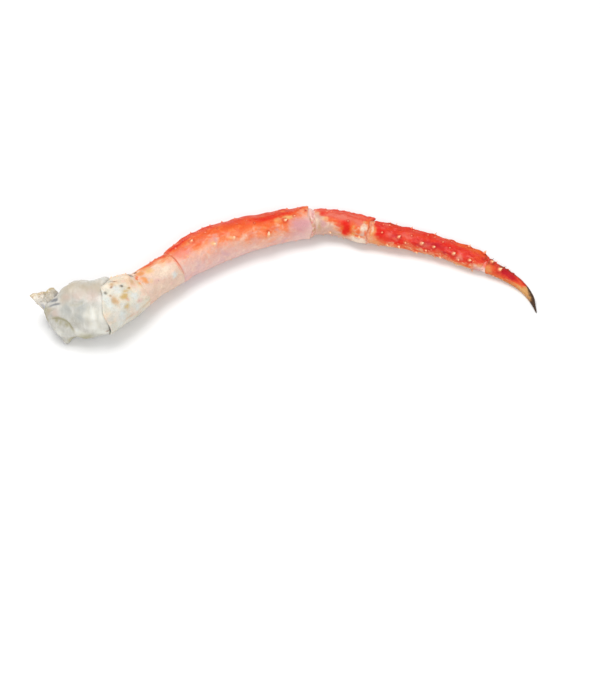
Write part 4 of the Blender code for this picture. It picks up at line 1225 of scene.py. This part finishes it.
def remade(mesh, voxel, passes):
    # the same shape in even small faces, a little softened
    blank = bpy.data.objects.new("blank", mesh)
    bpy.context.scene.collection.objects.link(blank)
    remesh = blank.modifiers.new("remesh", "REMESH")
    remesh.mode = "VOXEL"
    remesh.voxel_size = voxel
    smooth = blank.modifiers.new("smooth", "SMOOTH")
    smooth.factor = 0.5
    smooth.iterations = passes
    result = bpy.data.meshes.new_from_object(blank.evaluated_get(bpy.context.evaluated_depsgraph_get()))
    bpy.data.objects.remove(blank)
    return result


def shoulderBlank():
    # the solid without its flap
    made = bmesh.new()
    made.from_mesh(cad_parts["shoulder"].data)
    bmesh.ops.remove_doubles(made, verts=made.verts[:], dist=0.001 * mm)
    leftmost = min(left for _, left in shoulderForm["leftEdge"])
    cut = bmesh.ops.bisect_plane(made, geom=made.verts[:] + made.edges[:] + made.faces[:], clear_outer=True,
                                 plane_co=inShoulder((leftmost, 0, 0)), plane_no=(-1, 0, 0))
    edges = [item for item in cut["geom_cut"] if isinstance(item, bmesh.types.BMEdge)]
    bmesh.ops.holes_fill(made, edges=edges)
    mesh = bpy.data.meshes.new("blank")
    made.to_mesh(mesh)
    made.free()
    mesh = remade(mesh, shoulderForm["voxel"], 3)
    points = vertexArray(mesh, "co")
    shares = (points - shoulderLow) / (shoulderHigh - shoulderLow)
    left = np.interp(shares[:, 1], *zip(*shoulderForm["leftEdge"]))
    points[:, 0] = np.maximum(points[:, 0], shoulderLow[0] + left * (shoulderHigh - shoulderLow)[0])
    mesh.vertices.foreach_set("co", points.ravel())
    mesh.update()
    return remade(mesh, shoulderForm["voxel"], 8)


def foldField(points, normals, line):
    # distance from a fold's line in mm, and which side of it each point lies on
    knots = np.array([inShoulder(place) for place in line])
    snapped = np.array([points[np.argmin(((points - knot) ** 2).sum(1))] for knot in knots])
    shares = np.linspace(0, len(snapped) - 1, 24 * len(snapped))
    samples = smoothAlong(readAt(shares, range(len(snapped)), snapped), 15)
    ahead = np.gradient(samples, axis=0)
    ahead /= np.linalg.norm(ahead, axis=1, keepdims=True) + 1e-9
    gaps = ((points[:, None] - samples[None]) ** 2).sum(2)
    nearest = gaps.argmin(1)
    aside = np.cross(normals, ahead[nearest])
    side = ((points - samples[nearest]) * aside).sum(1) / mm
    ends = np.minimum(nearest, len(samples) - 1 - nearest) / (0.25 * len(samples))
    return np.sqrt(gaps[np.arange(len(points)), nearest]) / mm, side, np.clip(ends, 0, 1)


def nearness(points, where, size, falloff):
    # 1 at a place in the shoulder's box, falling off over this many mm
    return np.exp(-falloff * (((points - inShoulder(where)) ** 2).sum(1) / (size * mm) ** 2))


def shoulderMesh():
    made = shoulderBlank()
    points, normals = vertexArray(made, "co"), vertexArray(made, "normal")
    lift = layers(points, ((13, 0.9, 4.2), (5, 0.35, 1.9), (1.1, 0.06, 2.0)))
    lift += 0.2 * noiseAt(points * (2.2, 1, 0.7), 3.4 * mm, 6.0)
    masks = {kind: np.zeros(len(points)) for kind in shoulderTones}
    for kind, width, depth, step, line in shoulderForm["folds"]:
        gap, side, fade = foldField(points, normals, line)
        lift -= depth * np.exp(-(gap / width) ** 2) * fade
        lift += step * 0.5 * np.tanh(side / width) * np.exp(-(gap / (4.5 * width)) ** 2) * fade
        # each fold's colour runs along its line: painted shade in the crease
        strength = 1.1 * fade * min(1.0, 1.2 * depth)
        masks[kind] = np.maximum(masks[kind], np.exp(-0.5 * (gap / width) ** 2) * strength)
    drift = 2.2 * mm * np.stack([noiseAt(points, 8 * mm, seed) for seed in (2.0, 11.0, 23.0)], -1)
    for *where, size, height in shoulderForm["swellings"]:
        lift += height * nearness(points + drift, where, size, 1.2)
    points = points + normals * (lift * mm)[:, None]
    for where, size, pull in shoulderForm["pulls"]:
        points = points + np.array(pull) * mm * nearness(points, where, size, 1.5)[:, None]
    points = np.clip(points, shoulderLow, shoulderHigh)
    made.vertices.foreach_set("co", points.ravel())
    made.update()
    for kind, places in shoulderForm["spots"].items():
        for *where, size in places:
            masks[kind] = np.maximum(masks[kind], nearness(points + drift, where, size, 0.9))
    for kind, mask in masks.items():
        writeAttribute(made, kind, mask)
    return made


def meatFinish():
    finish = Finish("shoulder meat", softness(0.12, 0.3, (1.0, 0.85, 0.7), 2.5))
    place = finish.inSpace()
    clouds = finish.noise(place, 9.0, 4.0)
    mottle = finish.noise(place, 3.0, 4.0)
    strands = finish.noise(finish.inSpace((1.0, 0.22, 0.22)), 1.8, 4.0, 0.6, 0.6)
    fine = finish.noise(place, 0.9, 3.0)
    whites = stops((0.25, 178, 176, 166), (0.5, 193, 191, 183), (0.75, 206, 203, 196))
    colour = finish.ramp(clouds * 1.4 + strands * 0.5 + 0.5, whites)
    # faint veins and thin pale strands under the skin
    winding = finish.noise(finish.inSpace((0.8, 1, 1)), 11.0, 3.0, 0.5, 1.2)
    veins = 1 - abs(winding * (mottle + 1)).step(0.002, 0.02)
    colour = finish.tint(colour, veins * 0.3, 160, 146, 134)
    colour = finish.tint(colour, (strands + mottle * 0.5).step(0.05, 0.3) * 0.4, 224, 222, 213)
    broken = mottle * 0.5 + clouds * 1.6
    # the olive, dun and slate tints are painted shade in the creases and under the flap, the white spots
    # painted highlight
    for kind, tint in shoulderTones.items():
        mask = (finish.attribute(kind) + broken * 0.35).step(0.1, 1.05)
        colour = finish.tint(colour, mask * 0.8, *tint)
    height = strands * 0.6 + fine * 0.3 + mottle * 0.5 + veins * 0.2
    return finish.wear(colour=colour, roughness=0.48 + mottle * 0.3, coat=0.1 + clouds * 0.3,
                       normal=finish.bump(height, 0.2))


# Sheets of the flap: root and tip edges as shares of the shoulder's box, curl of the sides and of the end
# in mm, how ragged the end is, and how many points it has.
flapSheets = [{
    "root": ((0.44, 0.6, 0.66), (0.25, 0.34, 0.5)),
    "tip": ((0.29, 0.84, 0.6), (0, 0.71, 0.56)),
    "curl": (1.6, 0.8), "ragged": 0.07, "points": 3,
},
    {
    "root": ((0.36, 0.5, 0.62), (0.24, 0.42, 0.52)),
    "tip": ((0.16, 0.62, 0.5), (0.08, 0.58, 0.5)),
    "curl": (1, 0.6), "ragged": 0.2, "points": 2,
}]


flapGrid = (40, 46)  # rows and columns of each sheet
flapThickness = 0.5 * mm


def flapMesh():
    points, faces, end, streak = [], [], [], []
    rows, columns = flapGrid
    for number, form in enumerate(flapSheets):
        u, v = np.meshgrid(np.linspace(0, 1, rows), np.linspace(0, 1, columns), indexing="ij")
        root, tip = (np.array([inShoulder(place) for place in form[edge]]) for edge in ("root", "tip"))
        teeth = np.abs(np.sin(np.pi * form["points"] * v + 0.7 * number)) ** 0.7
        seeds = np.stack((v.ravel() * 5, np.full(v.size, 3.7 * number), np.zeros(v.size)), -1)
        reach = u * (1 - form["ragged"] * (1 - teeth) + 0.06 * noiseAt(seeds, 1.0).reshape(v.shape))
        across = (1 - v)[..., None]
        base = root[0] * across + root[1] * (1 - across)
        far = tip[0] * across + tip[1] * (1 - across)
        sheet = base + (far - base) * reach[..., None]
        rise = form["curl"][0] * (2 * v - 1) ** 2 * (0.4 + 0.6 * u) + form["curl"][1] * u ** 2
        flat = sheet.reshape(-1, 3)
        crumple = 0.8 * noiseAt(flat, 6 * mm, number) + 0.3 * noiseAt(flat, 2.2 * mm, 5 + number)
        flat[:, 2] += (rise.ravel() + crumple) * mm
        first = len(points)
        thin = flapThickness * (1 - 0.6 * u.ravel())
        points += flat.tolist() + (flat - thin[:, None] * up).tolist()
        index = gridIndex(rows, columns) + first
        corners = (index[:-1, :-1], index[:-1, 1:], index[1:, 1:], index[1:, :-1])
        quads = np.stack(corners, -1).reshape(-1, 4)
        faces += quads.tolist() + (quads[:, ::-1] + rows * columns).tolist()
        border = np.concatenate((index[0, :-1], index[:-1, -1], index[-1, :0:-1], index[:0:-1, 0]))
        faces += bridge((border + rows * columns).tolist(), border.tolist())
        end += np.tile(u.ravel(), 2).tolist()
        seeds = np.stack((u.ravel(), v.ravel() * 6, np.full(u.size, number)), -1)
        streak += np.tile(noiseAt(seeds, 1.0), 2).tolist()
    points = np.clip(np.array(points), shoulderLow, shoulderHigh)
    made = bpy.data.meshes.new("shoulder_flap")
    made.from_pydata(points.tolist(), [], faces)
    writeAttribute(made, "end", end)
    writeAttribute(made, "streak", streak)
    return made


def flapFinish():
    finish = Finish("flap", softness(0.15, 0.3, (1.0, 0.85, 0.6), 1.5))
    place = finish.inSpace()
    clouds = finish.noise(place, 5.0, 4.0)
    fine = finish.noise(place, 1.2, 3.0)
    end = finish.attribute("end")
    colour = finish.ramp(clouds + 0.5, stops((0.35, 166, 158, 144), (0.65, 198, 190, 176)))
    # bluish dark streaks on the root half: painted shadow in the fold between the flap and the bulb
    streaks = finish.attribute("streak").step(0.05, 0.5) * (1 - end).step(0.3, 0.7)
    colour = finish.tint(colour, streaks * 0.8, 112, 116, 126)
    colour = finish.tint(colour, (end + fine * 0.4).step(0.75, 1.0) * 0.7, 186, 162, 112)
    flecks = 1 - finish.dots(place, 2.2).step(0.2, 0.42)
    colour = finish.tint(colour, flecks * (end + clouds).step(0.6, 0.9) * 0.8, 142, 86, 52)
    return finish.wear(colour=colour, roughness=0.32 + fine * 0.3, coat=0.4,
                       alpha=0.94 - end * 0.15 + clouds * 0.2, normal=finish.bump(fine + clouds, 0.15))


addPiece("shoulder_body", shoulderMesh(), "shoulder_meat", meatFinish(), "shoulder")
addPiece("shoulder_flap", flapMesh(), "shoulder_meat", flapFinish())


# Floor, light and camera.

stageForm = {
    "floorSize": 6.0,
    "floorDrop": 0.2 * mm,
    "elevation": 55.0,       # degrees the camera looks down
    "lens": 85.0,
    "distance": 3.144,       # in lengths of the leg
    "aim": (0.031, -0.147),  # beside the leg's middle, in lengths of the leg
    "daylight": 0.57,
    "lamps": {               # place, size and power of each
        "softbox": ((-0.3, 0.4, 1.3), 0.9, 12.8),
        "fill": ((0.25, -1.1, 0.9), 0.6, 8.2),
    },
}


def floorFinish():
    finish = Finish("floor", {})
    paint = finish.noise(finish.inSpace(), 40.0) * 0.02 + 0.5
    colour = finish.ramp(paint, [(0.4, (0.84, 0.84, 0.84, 1)), (0.6, (0.88, 0.88, 0.88, 1))])
    return finish.wear(colour=colour, roughness=0.7)


def makeFloor():
    half = stageForm["floorSize"] / 2
    mesh = bpy.data.meshes.new("floor")
    corners = [(-half, -half, 0), (half, -half, 0), (half, half, 0), (-half, half, 0)]
    mesh.from_pydata(corners, [], [(0, 1, 2, 3)])
    mesh.materials.append(floorFinish())
    floor = bpy.data.objects.new("floor", mesh)
    floor.location.z = -stageForm["floorDrop"]
    bpy.context.scene.collection.objects.link(floor)


def makeCamera():
    camera = bpy.data.objects.new("camera", bpy.data.cameras.new("camera"))
    bpy.context.scene.collection.objects.link(camera)
    camera.data.lens = stageForm["lens"]
    length = cadHigh.x - cadLow.x
    tilt = math.radians(stageForm["elevation"])
    aim = (cadLow + cadHigh) / 2 + Vector((*stageForm["aim"], 0)) * length
    aim.z = 0
    away = Vector((0, -math.cos(tilt), math.sin(tilt)))
    camera.location = aim + away * stageForm["distance"] * length
    camera.rotation_euler = away.to_track_quat("Z", "Y").to_euler()
    bpy.context.scene.camera = camera


def makeLamp(name, spot, size, power):
    lamp = bpy.data.lights.new(name, "AREA")
    lamp.shape = "DISK"
    lamp.size = size
    lamp.energy = power
    item = bpy.data.objects.new(name, lamp)
    item.location = spot
    item.rotation_euler = Vector(spot).to_track_quat("Z", "Y").to_euler()
    bpy.context.scene.collection.objects.link(item)


def makeLight():
    world = bpy.data.worlds.new("studio")
    world.use_nodes = True
    background = world.node_tree.nodes["Background"]
    background.inputs["Color"].default_value = (1, 1, 1, 1)
    background.inputs["Strength"].default_value = stageForm["daylight"]
    bpy.context.scene.world = world
    for name, (spot, size, power) in stageForm["lamps"].items():
        makeLamp(name, spot, size, power)


makeFloor()
makeCamera()
makeLight()
bpy.context.scene.view_settings.view_transform = "Standard"
print("floor, camera and light are in place")
